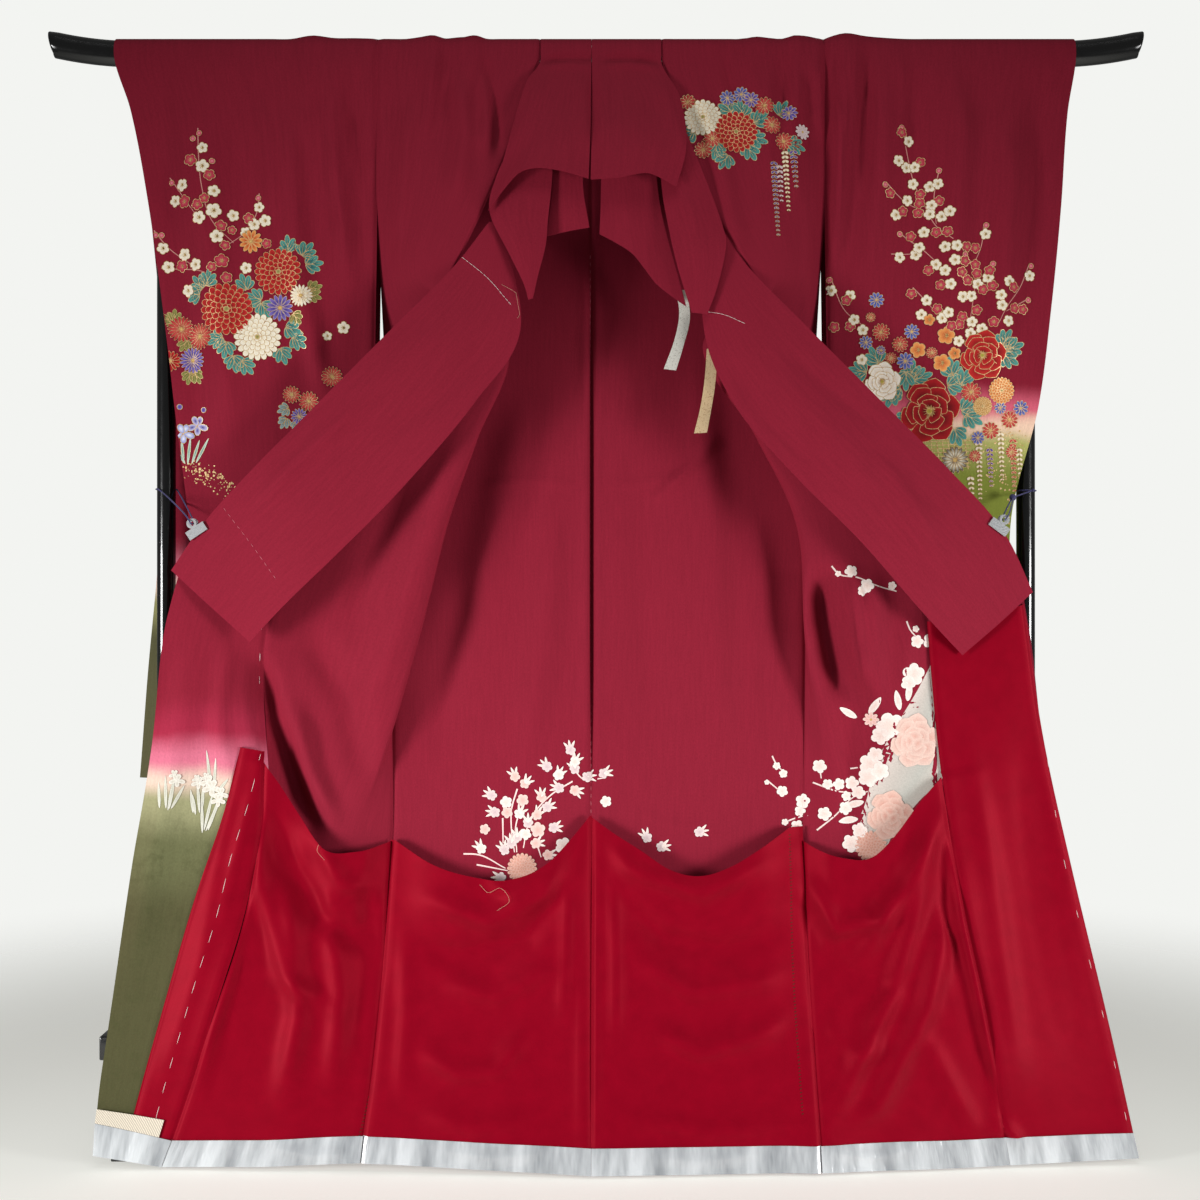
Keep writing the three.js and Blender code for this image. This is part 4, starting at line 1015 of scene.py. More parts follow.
@dataclass
class Kimono:
    """All the cloth of the kimono, in the order in which it lies from the back to the front."""

    pieces: dict[str, Cloth] = field(default_factory=dict)

    def add(self, *cloths: Cloth) -> None:
        """Shapes pieces of cloth over those before them."""
        for cloth in cloths:
            cloth.shape(self.pieces)
            self.pieces[cloth.node] = cloth

    def body(self) -> None:
        """The back and front panels and the overlap panels."""
        for panel in ("back_left", "back_right", "front_left", "front_right"):
            self.add(Cloth(panel, BURGUNDY_CREPE, "crepe", Held.HUNG, ("top_rail",), sewn="lr"))
        self.add(
            Cloth("okumi_left", OVERLAP_CREPE, "crepe", Held.HUNG, ("front_left",), sewn="r"),
            Cloth("okumi_right", BURGUNDY_CREPE, "crepe", Held.HUNG, ("front_right",), sewn="l"),
        )
        self.close_seams("", (("okumi_left", "r", "front_left", "r"),
                              ("front_left", "l", "back_left", "l"),
                              ("back_left", "r", "back_right", "l"),
                              ("back_right", "r", "front_right", "r"),
                              ("front_right", "l", "okumi_right", "l")))

    def close_seams(self, layer: str, seams: tuple[tuple[str, str, str, str], ...]) -> None:
        """Draws the pieces of a layer together along its seams."""
        for one, side, other, other_side in seams:
            draw_together(self.pieces[layer + one], side, self.pieces[layer + other], other_side)

    def sleeves(self) -> None:
        """Both sleeves, each with a length in front of the rail and one behind it."""
        for side, edge, finish in (("left", "r", LEFT_SLEEVE_CREPE),
                                   ("right", "l", RIGHT_SLEEVE_CREPE)):
            for face in ("front", "back"):
                self.add(Cloth(f"sleeve_{side}_{face}", finish, "crepe", Held.HUNG,
                               ("top_rail",), sewn=edge))

    def linings(self) -> None:
        """The red lining, sewn in below and loose along its top."""
        panels = ("okumi_left", "front_left", "back_left", "back_right", "front_right",
                  "okumi_right")
        for panel in panels:
            self.add(Cloth(f"lining_{panel}", RED_LINING, "lining", Held.HUNG, (panel,),
                           sewn="lr", over=panel, step=7.0))
        self.close_seams("lining_", tuple((a, "r", b, "l") for a, b in zip(panels, panels[1:])))
        for panel in panels:
            self.add(Cloth(f"tape_{panel}", HEM_SATIN, "satin", Held.STRETCHED,
                           (f"lining_{panel}",), over=f"lining_{panel}", step=6.0))
        self.add(Cloth("tape_header_left", COTTON, "cotton", Held.STRETCHED, ("okumi_left",),
                       over="lining_okumi_left", step=6.0))

    def collar(self) -> None:
        """The wide collar, opened out over both fronts."""
        for side in ("left", "right"):
            for part, rest in (("nape", "top_rail"), ("inner", f"collar_nape_{side}"),
                               ("throat", f"collar_nape_{side}"), ("band", f"okumi_{side}")):
                self.add(Cloth(f"collar_{part}_{side}", BURGUNDY_CREPE, "crepe", Held.FOLDED,
                               (rest,), step=6.0))

    def ribbons(self) -> None:
        """The two short ribbons inside the collar's right half."""
        for metal, finish, rest in (("silver", SILVER_RIBBON, "collar_throat_right"),
                                    ("gold", GOLD_RIBBON, "collar_band_right")):
            self.add(Cloth(f"ribbon_{metal}", finish, f"{metal}_ribbon", Held.HUNG, (rest,),
                           wall=1.0, thickness=0.5, step=4.0))

    def build(self) -> None:
        """Makes every piece of cloth."""
        self.body()
        self.sleeves()
        self.linings()
        self.collar()
        self.ribbons()
        self.paint()
        for stitching in stitchings():
            stitching.build(self.pieces)
        for cloth in self.pieces.values():
            obj = cloth.build()
            cloth.declare(obj)
            LOG.info("%s: %d x %d points", obj.name, *cloth.grid.shape[:2])

    def paint(self) -> None:
        """Paints the flowers on the cloth that shows them."""
        pieces = self.pieces
        paint_left_sleeve(pieces["sleeve_left_front"])
        paint_right_sleeve(pieces["sleeve_right_front"])
        paint_shoulder(pieces["front_right"])
        paint_inside_back(pieces["back_left"], pieces["back_right"])
        paint_inside_front(pieces["front_right"], pieces["okumi_right"], pieces["back_right"])
        paint_overlap_foot(pieces["okumi_left"])


# ---- painted and dyed figures --------------------------------------------------------------------


class Ink(Enum):
    """What a figure's patch is made with; the value is its material's place on the mesh."""

    DYE = 0
    GOLD = 1


@dataclass(frozen=True)
class PaintedDye(Finish):
    """Dye painted on crepe inside resist lines: matt, its colours shaded by hand."""

    name: str = "hand-painted dye on crepe"

    def surface(self, tree: Tree) -> Socket:
        """The colour that each figure carries, on the crepe's relief."""
        colour = add_node(tree, "ShaderNodeAttribute", attribute_name="dye").outputs["Color"]
        pebbles = noise(tree, in_space(tree), 1 / PEBBLE / MM)
        level = remapped(tree, pebbles, (0.3, 0.7), (0.9, 1.05))
        return lit(tree, toned(tree, colour, level), 0.75, bumped(tree, pebbles, 0.7, 0.12),
                   Specular_IOR_Level=0.15)


@dataclass(frozen=True)
class GoldLeaf(Finish):
    """Gold leaf pressed on paste lines: soft metal, broken by the crepe's pebbles."""

    name: str = "gold leaf on crepe"
    colour: str = "#e4c48e"
    worn: str = "#b98b55"

    def surface(self, tree: Tree) -> Socket:
        """A warm metal with worn spots."""
        spots = noise(tree, in_space(tree), 420.0)
        colour = ramped(tree, spots, (0.38, self.worn), (0.55, self.colour))
        return lit(tree, colour, 0.42, bumped(tree, spots, 0.6, 0.15), Metallic=0.3)


@dataclass(frozen=True)
class Shades:
    """A figure's colours: its heart, its rim and its outline, if it has one."""

    heart: str
    rim: str
    gold: bool = True


WHITE = Shades("#e3d5b4", "#f1e9d8")
SCARLET = Shades("#7d0b14", "#c02a28")
CORAL = Shades("#cf5a50", "#a51c2a")
PINK = Shades("#e58a98", "#b82a48")
PLUM_RED = Shades("#cc5a66", "#a81c38")
VIOLET = Shades("#43357c", "#8272bb")
BLUE = Shades("#37458a", "#747dc0")
ORANGE = Shades("#b9431f", "#eba05a")
OCHRE = Shades("#8d4a28", "#e2b26a")
DARK_RED = Shades("#5c0810", "#aa1a20")
TEAL = Shades("#17565a", "#579d92")
OLIVE = Shades("#4a5224", "#8f9150")
SOOT = Shades("#e8ddc4", "#2a2322")
PALE = Shades("#e3c9bf", "#ecdfd8", False)
PALE_PINK = Shades("#dfaaa0", "#e9c9c0", False)
PALE_CORAL = Shades("#d08a76", "#e0b3a3", False)
PALE_GREY = Shades("#c8b0b2", "#dccbc8", False)


def turned(outline: np.ndarray, degrees: float) -> np.ndarray:
    """An outline turned about its origin, anticlockwise."""
    turn = math.radians(degrees)
    return outline @ np.array([[math.cos(turn), math.sin(turn)], [-math.sin(turn), math.cos(turn)]])


def toward(distance: float, degrees: float) -> np.ndarray:
    """The step of a distance in a direction."""
    return turned(np.array([[distance, 0.0]]), degrees)[0]


def petal(length: float, width: float, point: float = 0.0, count: int = 10) -> np.ndarray:
    """A petal's outline from its base at the origin along +X.

    Args:
        length: Its length.
        width: Its width.
        point: From 0, round, to 1, pointed.
        count: Points of its outline.

    Returns:
        The outline, anticlockwise.
    """
    turns = np.linspace(0, 2 * math.pi, count, endpoint=False) + math.pi / count
    along = (1 + np.cos(turns)) / 2
    bulge = np.sin(turns) * (0.55 + 0.45 * along - point * 0.75 * along**2)
    return np.stack([along * length, bulge * width / 2 * 1.25], axis=1)


def scalloped(length: float, width: float, count: int = 28) -> np.ndarray:
    """A broad petal's outline along +X, its far end cut in three scallops."""
    turns = np.linspace(0, 2 * math.pi, count, endpoint=False)
    cut = 1 - 0.15 * np.abs(np.sin(2.5 * turns)) ** 0.8 * np.clip(np.cos(turns) + 0.45, 0, 1)
    return np.stack([length / 2 * (1 + np.cos(turns) * cut),
                     width / 2 * np.sin(turns) * cut * (0.8 + 0.3 * np.cos(turns))], axis=1)


def lobed(radius: float, lobes: int, depth: float, count: int = 30) -> np.ndarray:
    """A flower's outline with round lobes about the origin."""
    turns = np.linspace(0, 2 * math.pi, count, endpoint=False)
    reach = radius * (1 - depth + depth * np.abs(np.cos(turns * lobes / 2)) ** 0.7)
    return np.stack([reach * np.cos(turns), reach * np.sin(turns)], axis=1)


LEVELS = 9  # how many heights the figures take in turn
LEVEL_STEP = 0.05  # from one height to the next
FOLD_REACH = 14.0  # how far in depth one figure may reach over a fold's edge
GOLD_LIFT, FACE_LIFT = 0.12, 0.09  # a figure's gold line and its inside over its own height
HALF_WAY = 0.55  # where between heart and rim the shading turns
GOLD_LINE = "#d9b273"
TWIG = "#c98a80"
STEM = "#8a6a4a"
VEIN = Shades(GOLD_LINE, GOLD_LINE, False)
STAMEN = Shades("#c9a468", "#c9a468", False)
CHRYSANTHEMUM_HEART = Shades("#7d7a45", "#b9a868")
PEONY_HEART = Shades("#8a8a3c", "#c9b04e")
# Rings of petals from outside inwards: where they start and end as parts of the radius, how
# many there are, and a peony's first direction.
CHRYSANTHEMUM_RINGS = ((0.55, 1.0, 20), (0.38, 0.8, 17), (0.22, 0.6, 13), (0.08, 0.4, 9),
                       (0.0, 0.2, 5))
PEONY_RINGS = ((0.3, 1.0, 6, 12.0), (0.2, 0.8, 5, 48.0), (0.06, 0.58, 4, 20.0),
               (0.0, 0.38, 3, 75.0))
IRIS_PETALS = ((65, 0.9), (118, 0.95), (-90, 0.95), (-18, 1.1), (198, 1.1))  # direction, reach
FLORET = 6.2  # the length of a wisteria's largest floret, and from one pair to the next


@dataclass
class Painting:
    """Figures painted on cloth, gathered in one thin mesh that follows it."""

    name: str
    cloths: list[Cloth]
    sketch: Sketch
    points: list = field(default_factory=list)
    colours: list = field(default_factory=list)
    faces: list = field(default_factory=list)
    inks: list = field(default_factory=list)
    drawn: int = 0
    ground: BVHTree = field(init=False)
    proud: float = field(init=False)  # from the cloth's middle to its front

    def __post_init__(self) -> None:
        """Gathers the cloth that the figures lie on."""
        self.ground = surface_of(*(cloth.grid for cloth in self.cloths))
        self.proud = self.cloths[0].thickness / 2

    def level(self) -> float:
        """The next figure's height above the cloth, so that neighbours don't share one."""
        self.drawn += 1
        return self.drawn % LEVELS * LEVEL_STEP

    def add(self, spots: np.ndarray, faces: Sequence[tuple], colours: Sequence[tuple],
            lift: float, ink: Ink = Ink.DYE) -> None:
        """Lays a patch on the cloth.

        Args:
            spots: Its points on the front.
            faces: Its faces, by those points.
            colours: A linear colour for each point.
            lift: Its height above the cloth.
            ink: What it is made with.
        """
        placed, heights = [], []
        for x, z in spots:
            place, normal = met(self.ground, x, z)
            if place is None:
                placed.append(None)
                continue
            out = normal if normal.y < 0 else -normal
            placed.append(place + out * (self.proud + lift))
            heights.append(place.y)
        if not heights:
            return
        middle = float(np.median(heights))
        index = {}
        for number, point in enumerate(placed):
            if point is not None and abs(point.y - middle) < FOLD_REACH:
                index[number] = len(self.points)
                self.points.append(tuple(point))
                self.colours.append(colours[number])
        for face in faces:
            if all(corner in index for corner in face):
                self.faces.append(tuple(index[corner] for corner in face))
                self.inks.append(ink.value)

    def patch(self, centre: np.ndarray, outline: np.ndarray, shades: Shades, lift: float,
              heart: Sequence[float] = (0.0, 0.0), line: float = 0.42) -> None:
        """A shaded shape that every point of its outline can see its heart from.

        Args:
            centre: Where its origin is on the front.
            outline: Its outline about that origin, in millimetres.
            shades: Its colours.
            lift: Its height above the cloth.
            heart: Its lightest or darkest point, from the origin.
            line: The width of its gold line.
        """
        core = np.array(heart)
        count = len(outline)
        belt = [(i, count + i, count + (i + 1) % count, (i + 1) % count) for i in range(count)]
        fan = [(0, 1 + i, 1 + (i + 1) % count) for i in range(count)]
        fan += [tuple(corner + 1 for corner in face) for face in belt]
        rays = outline - core
        size = np.maximum(np.linalg.norm(rays, axis=1, keepdims=True), 1e-6)
        near, far = linear(shades.heart), linear(shades.rim)
        half = tuple(a * (1 - HALF_WAY) + b * HALF_WAY for a, b in zip(near, far))
        if shades.gold:
            both = np.concatenate([rays * (1 - line / size), rays * (1 + line / size)])
            self.add(centre + core + both, belt, [near] * len(both), lift + GOLD_LIFT, Ink.GOLD)
        spots = centre + np.concatenate([[core], core + rays * HALF_WAY, outline])
        self.add(spots, fan, [near] + [half] * count + [far] * count, lift + FACE_LIFT)

    def stroke(self, line: Sequence[Spot], widths: tuple[float, float], colour: str, lift: float,
               ink: Ink = Ink.DYE) -> None:
        """A drawn line, its width changing from one end to the other.

        Args:
            line: Its points on the sketch.
            widths: Its widths at both ends in millimetres.
            colour: Its colour.
            lift: Its height above the cloth.
            ink: What it is made with.
        """
        spots = self.sketch.curve(line, 5, 3)
        count = len(spots)
        ahead = np.gradient(spots, axis=0)
        side = np.stack([-ahead[:, 1], ahead[:, 0]], axis=1)
        side /= np.maximum(np.linalg.norm(side, axis=1, keepdims=True), 1e-9)
        half = np.linspace(widths[0], widths[1], count)[:, None] / 2
        both = np.concatenate([spots + side * half, spots - side * half])
        faces = [(i, i + count, i + count + 1, i + 1) for i in range(count - 1)]
        self.add(both, faces, [linear(colour)] * len(both), lift, ink)

    def branch(self, *line: Spot, width: float = 1.6) -> None:
        """A twig with a gold edge."""
        lift = 0.1 + self.level() * 0.4
        self.stroke(line, (width, width * 0.55), TWIG, lift)

    def stamens(self, centre: np.ndarray, reach: float, count: int, lift: float) -> None:
        """Fine gold rays round a flower's heart."""
        for ray in range(count):
            outline = turned(petal(reach, 0.5, 0.0, 6), 360 * ray / count + 20)
            self.patch(centre, outline, STAMEN, lift, (reach / 2, 0.0))

    def plum(self, x: float, y: float, radius: float, shades: Shades) -> None:
        """A plum blossom of five round petals.

        Args:
            x: Its place on the sketch.
            y: Its place on the sketch, downwards.
            radius: Its radius in the sketch's units.
            shades: Its colours.
        """
        centre, size = self.sketch.spot(x, y), radius * self.sketch.unit
        lift = 0.4 + self.level()
        turn = (x * 37 + y * 17) % 72  # a direction of its own for each
        self.patch(centre, turned(lobed(size, 5, 0.26), turn), shades, lift, line=0.45)
        if shades.gold and size > 5:
            self.stamens(centre, size * 0.4, 7, lift + 0.14)

    def bud(self, x: float, y: float, radius: float, shades: Shades) -> None:
        """A round bud."""
        self.patch(self.sketch.spot(x, y), lobed(radius * self.sketch.unit, 1, 0.1, 10), shades,
                   0.4 + self.level(), line=0.4)

    def ring(self, centre: np.ndarray, inner: float, outer: float, count: int, shades: Shades,
             lift: float, turn: float = 0.0, point: float = 0.0, fill: float = 0.92) -> None:
        """A ring of petals round a flower's heart.

        Args:
            centre: The heart on the front.
            inner: Where the petals start from it.
            outer: Where they end.
            count: How many there are.
            shades: Their colours.
            lift: Their height above the cloth.
            turn: The first petal's direction in degrees.
            point: From 0, round, to 1, pointed.
            fill: How much of its share of the ring a petal is wide.
        """
        width = 2 * math.pi * outer / count * fill * 0.86
        for index in range(count):
            angle = turn + 360 * index / count
            outline = turned(petal(outer - inner, width, point), angle)
            self.patch(centre + toward(inner, angle), outline, shades, lift + (index % 2) * 0.03,
                       toward((outer - inner) * 0.35, angle), line=0.36)

    def chrysanthemum(self, x: float, y: float, radius: float, shades: Shades) -> None:
        """A full chrysanthemum: rings of tongue-shaped petals that close over its heart."""
        centre, size = self.sketch.spot(x, y), radius * self.sketch.unit
        lift = 0.75 + self.level() * 0.4
        for index, (inner, outer, count) in enumerate(CHRYSANTHEMUM_RINGS):
            self.ring(centre, inner * size, outer * size, count, shades, lift + index * 0.16,
                      index * 11.0)
        if shades.gold:
            self.patch(centre, lobed(size * 0.1, 1, 0.0, 10), CHRYSANTHEMUM_HEART, lift + 0.9)

    def daisy(self, x: float, y: float, radius: float, shades: Shades, petals: int = 14) -> None:
        """A small open flower with one ring of narrow petals and a golden heart."""
        centre, size = self.sketch.spot(x, y), radius * self.sketch.unit
        lift = 0.55 + self.level()
        self.ring(centre, size * 0.12, size, petals, shades, lift, (x + y) % 25, 0.15, 0.8)
        self.patch(centre, lobed(size * 0.16, 1, 0.0, 10),
                   Shades("#dcc07c", "#b98a48", shades.gold), lift + 0.15, line=0.3)

    def peony(self, x: float, y: float, radius: float, shades: Shades) -> None:
        """A peony: broad petals with scalloped ends, laid over each other to its heart."""
        centre, size = self.sketch.spot(x, y), radius * self.sketch.unit
        lift = 0.7 + self.level() * 0.3
        for index, (inner, outer, count, turn) in enumerate(PEONY_RINGS):
            for number in range(count):
                angle = turn + 360 * number / count + 11 * math.sin(number * 2.3 + index)
                reach = (outer - inner) * size * (1 + 0.09 * math.sin(number * 1.7 + index))
                width = 2 * math.pi * outer * size / count * 0.86
                self.patch(centre + toward(inner * size, angle),
                           turned(scalloped(reach, width), angle), shades,
                           lift + index * 0.16 + (number % 3) * 0.05, toward(reach * 0.45, angle))
        if shades.gold:
            self.stamens(centre, size * 0.22, 13, lift + 0.85)
            self.patch(centre, lobed(size * 0.09, 1, 0.0, 10), PEONY_HEART, lift + 0.95)

    def leaf(self, x: float, y: float, length: float, degrees: float, shades: Shades = TEAL,
             lobes: int = 5) -> None:
        """A lobed leaf with gold veins about its middle, pointing in a direction."""
        size = length * self.sketch.unit
        lift = 0.2 + self.level() * 0.5
        base = self.sketch.spot(x, y) - toward(size / 2, degrees)
        for lobe in range(lobes):
            spread = (lobe - (lobes - 1) / 2) * (150 / lobes)
            reach = size * (1.05 - 0.36 * abs(spread) / 60)
            angle = degrees + spread
            start = base + toward(size * 0.12, degrees)
            self.patch(start, turned(petal(reach, size * 0.37, 0.1, 14), angle), shades,
                       lift + (lobe % 2) * 0.04, toward(reach * 0.3, angle))
            vein = turned(petal(reach * 0.85, 0.5, 0.0, 6), angle)
            if shades.gold:
                self.patch(start, vein, VEIN, lift + 0.12, toward(reach * 0.4, angle))

    def wisteria(self, x: float, top: float, bottom: float, shades: Shades,
                 lean: float) -> None:
        """A hanging strand of wisteria: pairs of florets that grow smaller downwards."""
        lift = 0.5 + self.level() * 0.5
        self.stroke([(x, top), (x + lean, bottom)], (0.8, 0.3), STEM, lift - 0.2)
        count = max(4, int((bottom - top) * self.sketch.unit / FLORET))
        for index in range(count):
            part = (index + 0.3) / count
            size = FLORET * (1 - 0.55 * part)
            middle = self.sketch.spot(x + lean * part, top + (bottom - top) * part)
            for side in (-1, 1):
                outline = turned(petal(size, size * 0.62), -90 + side * 52)
                self.patch(middle, outline, shades, lift + 0.03 * (index % 3),
                           outline.mean(axis=0), line=0.35)

    def iris(self, x: float, y: float, radius: float, shades: Shades) -> None:
        """An iris: three falling petals and two that stand."""
        centre, size = self.sketch.spot(x, y), radius * self.sketch.unit
        lift = 0.6 + self.level()
        for angle, reach in IRIS_PETALS:
            outline = turned(petal(size * reach, size * 0.62, 0.1), angle)
            self.patch(centre, outline, shades, lift + (angle % 7) * 0.02, outline.mean(axis=0))

    def blade(self, x: float, y: float, length: float, degrees: float, shades: Shades,
              width: float = 12.0) -> None:
        """A narrow leaf from its foot."""
        size = length * self.sketch.unit
        outline = turned(petal(size, width * self.sketch.unit, 0.8, 14), degrees)
        self.patch(self.sketch.spot(x, y), outline, shades, 0.25 + self.level(),
                   outline.mean(axis=0), line=0.35)

    def flakes(self, line: Sequence[Spot], spread: float, count: int, size: float,
               seed: int) -> None:
        """Cut gold leaf strewn along a line.

        Args:
            line: The line on the sketch.
            spread: How far the flakes stray from it, in the sketch's units.
            count: How many there are.
            size: The largest one's width in millimetres.
            seed: What fixes their places.
        """
        chance = np.random.default_rng(seed)
        ends = np.array(line, float)
        run = distances(ends)
        for place in chance.uniform(0, run[-1], count):
            middle = np.array([np.interp(place, run, ends[:, axis]) for axis in (0, 1)])
            middle = middle + chance.normal(0, spread, 2)
            width = size * chance.uniform(0.3, 1.0)
            square = np.array([[-1, -0.8], [1, -1], [0.8, 1], [-1, 0.7]]) * width / 2
            spots = self.sketch.spot(*middle) + turned(square, chance.uniform(0, 90))
            self.add(spots, [(0, 1, 2, 3)], [linear(GOLD_LINE)] * 4, 0.12 + self.level() * 0.5,
                     Ink.GOLD)

    def between(self, left: Sequence[Spot], right: Sequence[Spot], colours: Sequence[str],
                lift: float) -> None:
        """A shaded field between two lines, its colours changing from the first one's side.

        Args:
            left: The first line on the sketch.
            right: The other one, run the same way.
            colours: Colours from the left to the right.
            lift: Its height above the cloth.
        """
        rows, columns = 60, 16
        one, two = (self.sketch.curve(line, math.inf, rows) for line in (left, right))
        grid = np.stack([one + (two - one) * c / (columns - 1) for c in range(columns)], axis=1)
        known = np.array([linear(colour) for colour in colours])
        across = np.linspace(0, len(colours) - 1, columns)
        shade = [tuple(np.interp(a, range(len(known)), known[:, k]) for k in range(4))
                 for a in across]
        self.add(grid.reshape(-1, 2), grid_faces(rows, columns), shade * rows, lift)

    def build(self) -> bpy.types.Object:
        """Makes the mesh of all its figures and fastens it to its cloth."""
        obj = mesh_object(f"painting_{self.name}", np.array(self.points), self.faces)
        attribute = obj.data.color_attributes.new("dye", "FLOAT_COLOR", "POINT")
        attribute.data.foreach_set("color", np.array(self.colours, np.float32).ravel())
        obj.data.materials.append(PaintedDye().material())
        obj.data.materials.append(GoldLeaf().material())
        obj.data.polygons.foreach_set("material_index", self.inks)
        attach(obj, "root")
        self.cloths[0].slot
        self.cloths[0].with_pieces.append(obj)
        LOG.info("%s: %d faces", obj.name, len(self.faces))
        return obj


LEFT_SHEET = Sketch(-682.8, 1458.5, 0.4391)
RIGHT_SHEET = Sketch(286.6, 1458.5, 0.4391)
SHOULDER_SHEET = Sketch(-830.2, 1605.8, 1.393)
BACK_SHEET = Sketch(-185.2, 579.1, 0.311)
FRONT_SHEET = Sketch(235.9, 832.8, 0.307)
FOOT_SHEET = Sketch(-631.3, 576.2, 0.2175)


def paint_left_sleeve(cloth: Cloth) -> None:
    """Plum branches over chrysanthemums, a spray of daisies, and irises by a gilded stream."""
    art = Painting("sleeve_left", [cloth], LEFT_SHEET)
    art.branch((285, 62), (290, 150), (302, 250), (340, 370), (400, 430))
    art.branch((190, 215), (245, 290), (290, 350))
    art.branch((140, 385), (185, 440), (240, 480), (285, 510))
    art.branch((150, 505), (280, 515), (360, 545))
    art.branch((480, 270), (470, 340), (440, 390), (380, 440))
    for x, y in ((270, 98), (290, 80), (333, 172), (197, 232), (145, 400), (163, 400), (477, 285)):
        art.bud(x, y, 9, PINK)
    for x, y, r in (
            (265, 168, 20), (326, 217, 18), (245, 298, 21), (290, 312, 18), (312, 292, 16),
            (362, 378, 18), (447, 350, 18), (505, 432, 16), (375, 440, 16), (365, 490, 22),
            (335, 510, 16), (230, 498, 20), (380, 543, 18), (395, 390, 14)):
        art.plum(x, y, r, PLUM_RED)
    for x, y, r in (
            (302, 128, 18), (303, 188, 22), (237, 245, 20), (340, 268, 19), (210, 291, 19),
            (340, 331, 24), (295, 353, 21), (398, 343, 19), (350, 413, 21), (480, 315, 17),
            (465, 370, 20), (500, 358, 20), (437, 395, 17), (168, 442, 19), (240, 463, 21),
            (185, 502, 20), (280, 498, 20), (250, 577, 20), (440, 510, 19), (748, 698, 20),
            (697, 725, 15)):
        art.plum(x, y, r, WHITE)
    for x, y, turn in (
            (575, 440, 95), (630, 455, 55), (650, 495, 10), (290, 560, 130), (322, 548, 80),
            (272, 590, 170), (435, 560, 110), (470, 605, 160), (500, 640, -60), (350, 740, 200),
            (378, 768, -100), (405, 812, -80), (440, 822, -50), (585, 705, -20), (605, 742, -40),
            (555, 785, -70)):
        art.leaf(x, y, 52, turn)
    for x, y, turn in ((185, 670, 140), (205, 662, 90), (235, 748, -120), (250, 852, -100),
                       (275, 852, -60), (655, 572, 20), (652, 598, -15), (600, 668, -50)):
        art.leaf(x, y, 40, turn, OLIVE)
    art.daisy(548, 637, 43, VIOLET)
    art.daisy(617, 600, 35, WHITE, 18)
    art.daisy(225, 700, 42, CORAL, 18)
    art.daisy(290, 725, 42, CORAL, 18)
    art.daisy(192, 803, 33, SCARLET)
    art.daisy(262, 800, 42, VIOLET, 18)
    art.daisy(455, 425, 38, ORANGE, 11)
    art.chrysanthemum(543, 522, 75, SCARLET)
    art.chrysanthemum(380, 643, 83, SCARLET)
    art.chrysanthemum(477, 730, 75, WHITE)
    for x, y, turn in ((560, 960, 200), (560, 1000, 240), (655, 955, 70), (600, 1010, -80)):
        art.leaf(x, y, 36, turn, Shades("#3a5f66", "#93aeb0"))
    art.daisy(712, 855, 33, CORAL, 16)
    art.daisy(583, 912, 28, CORAL)
    art.daisy(637, 933, 32, CORAL)
    art.daisy(607, 982, 27, VIOLET)
    for x, y, length, turn in ((235, 1130, 80, 95), (248, 1135, 90, 84), (262, 1132, 80, 72),
                               (275, 1130, 90, 62), (240, 1132, 55, 120)):
        art.blade(x, y, length, turn, Shades("#5c8a80", "#cfe0cf"))
    for x, y in ((222, 950), (300, 960)):
        art.bud(x, y, 9, VIOLET)
    art.iris(280, 1010, 34, Shades("#3f3a86", "#c9c4e6"))
    art.iris(235, 1035, 34, Shades("#dfe3f2", "#7f86c4"))
    art.flakes([(235, 1135), (330, 1160), (400, 1215)], 9, 90, 3.2, 3)
    art.flakes([(190, 1150), (300, 1180), (390, 1240)], 12, 60, 2.4, 4)
    art.flakes([(200, 1270), (215, 1370)], 16, 40, 2.4, 5)
    art.build()


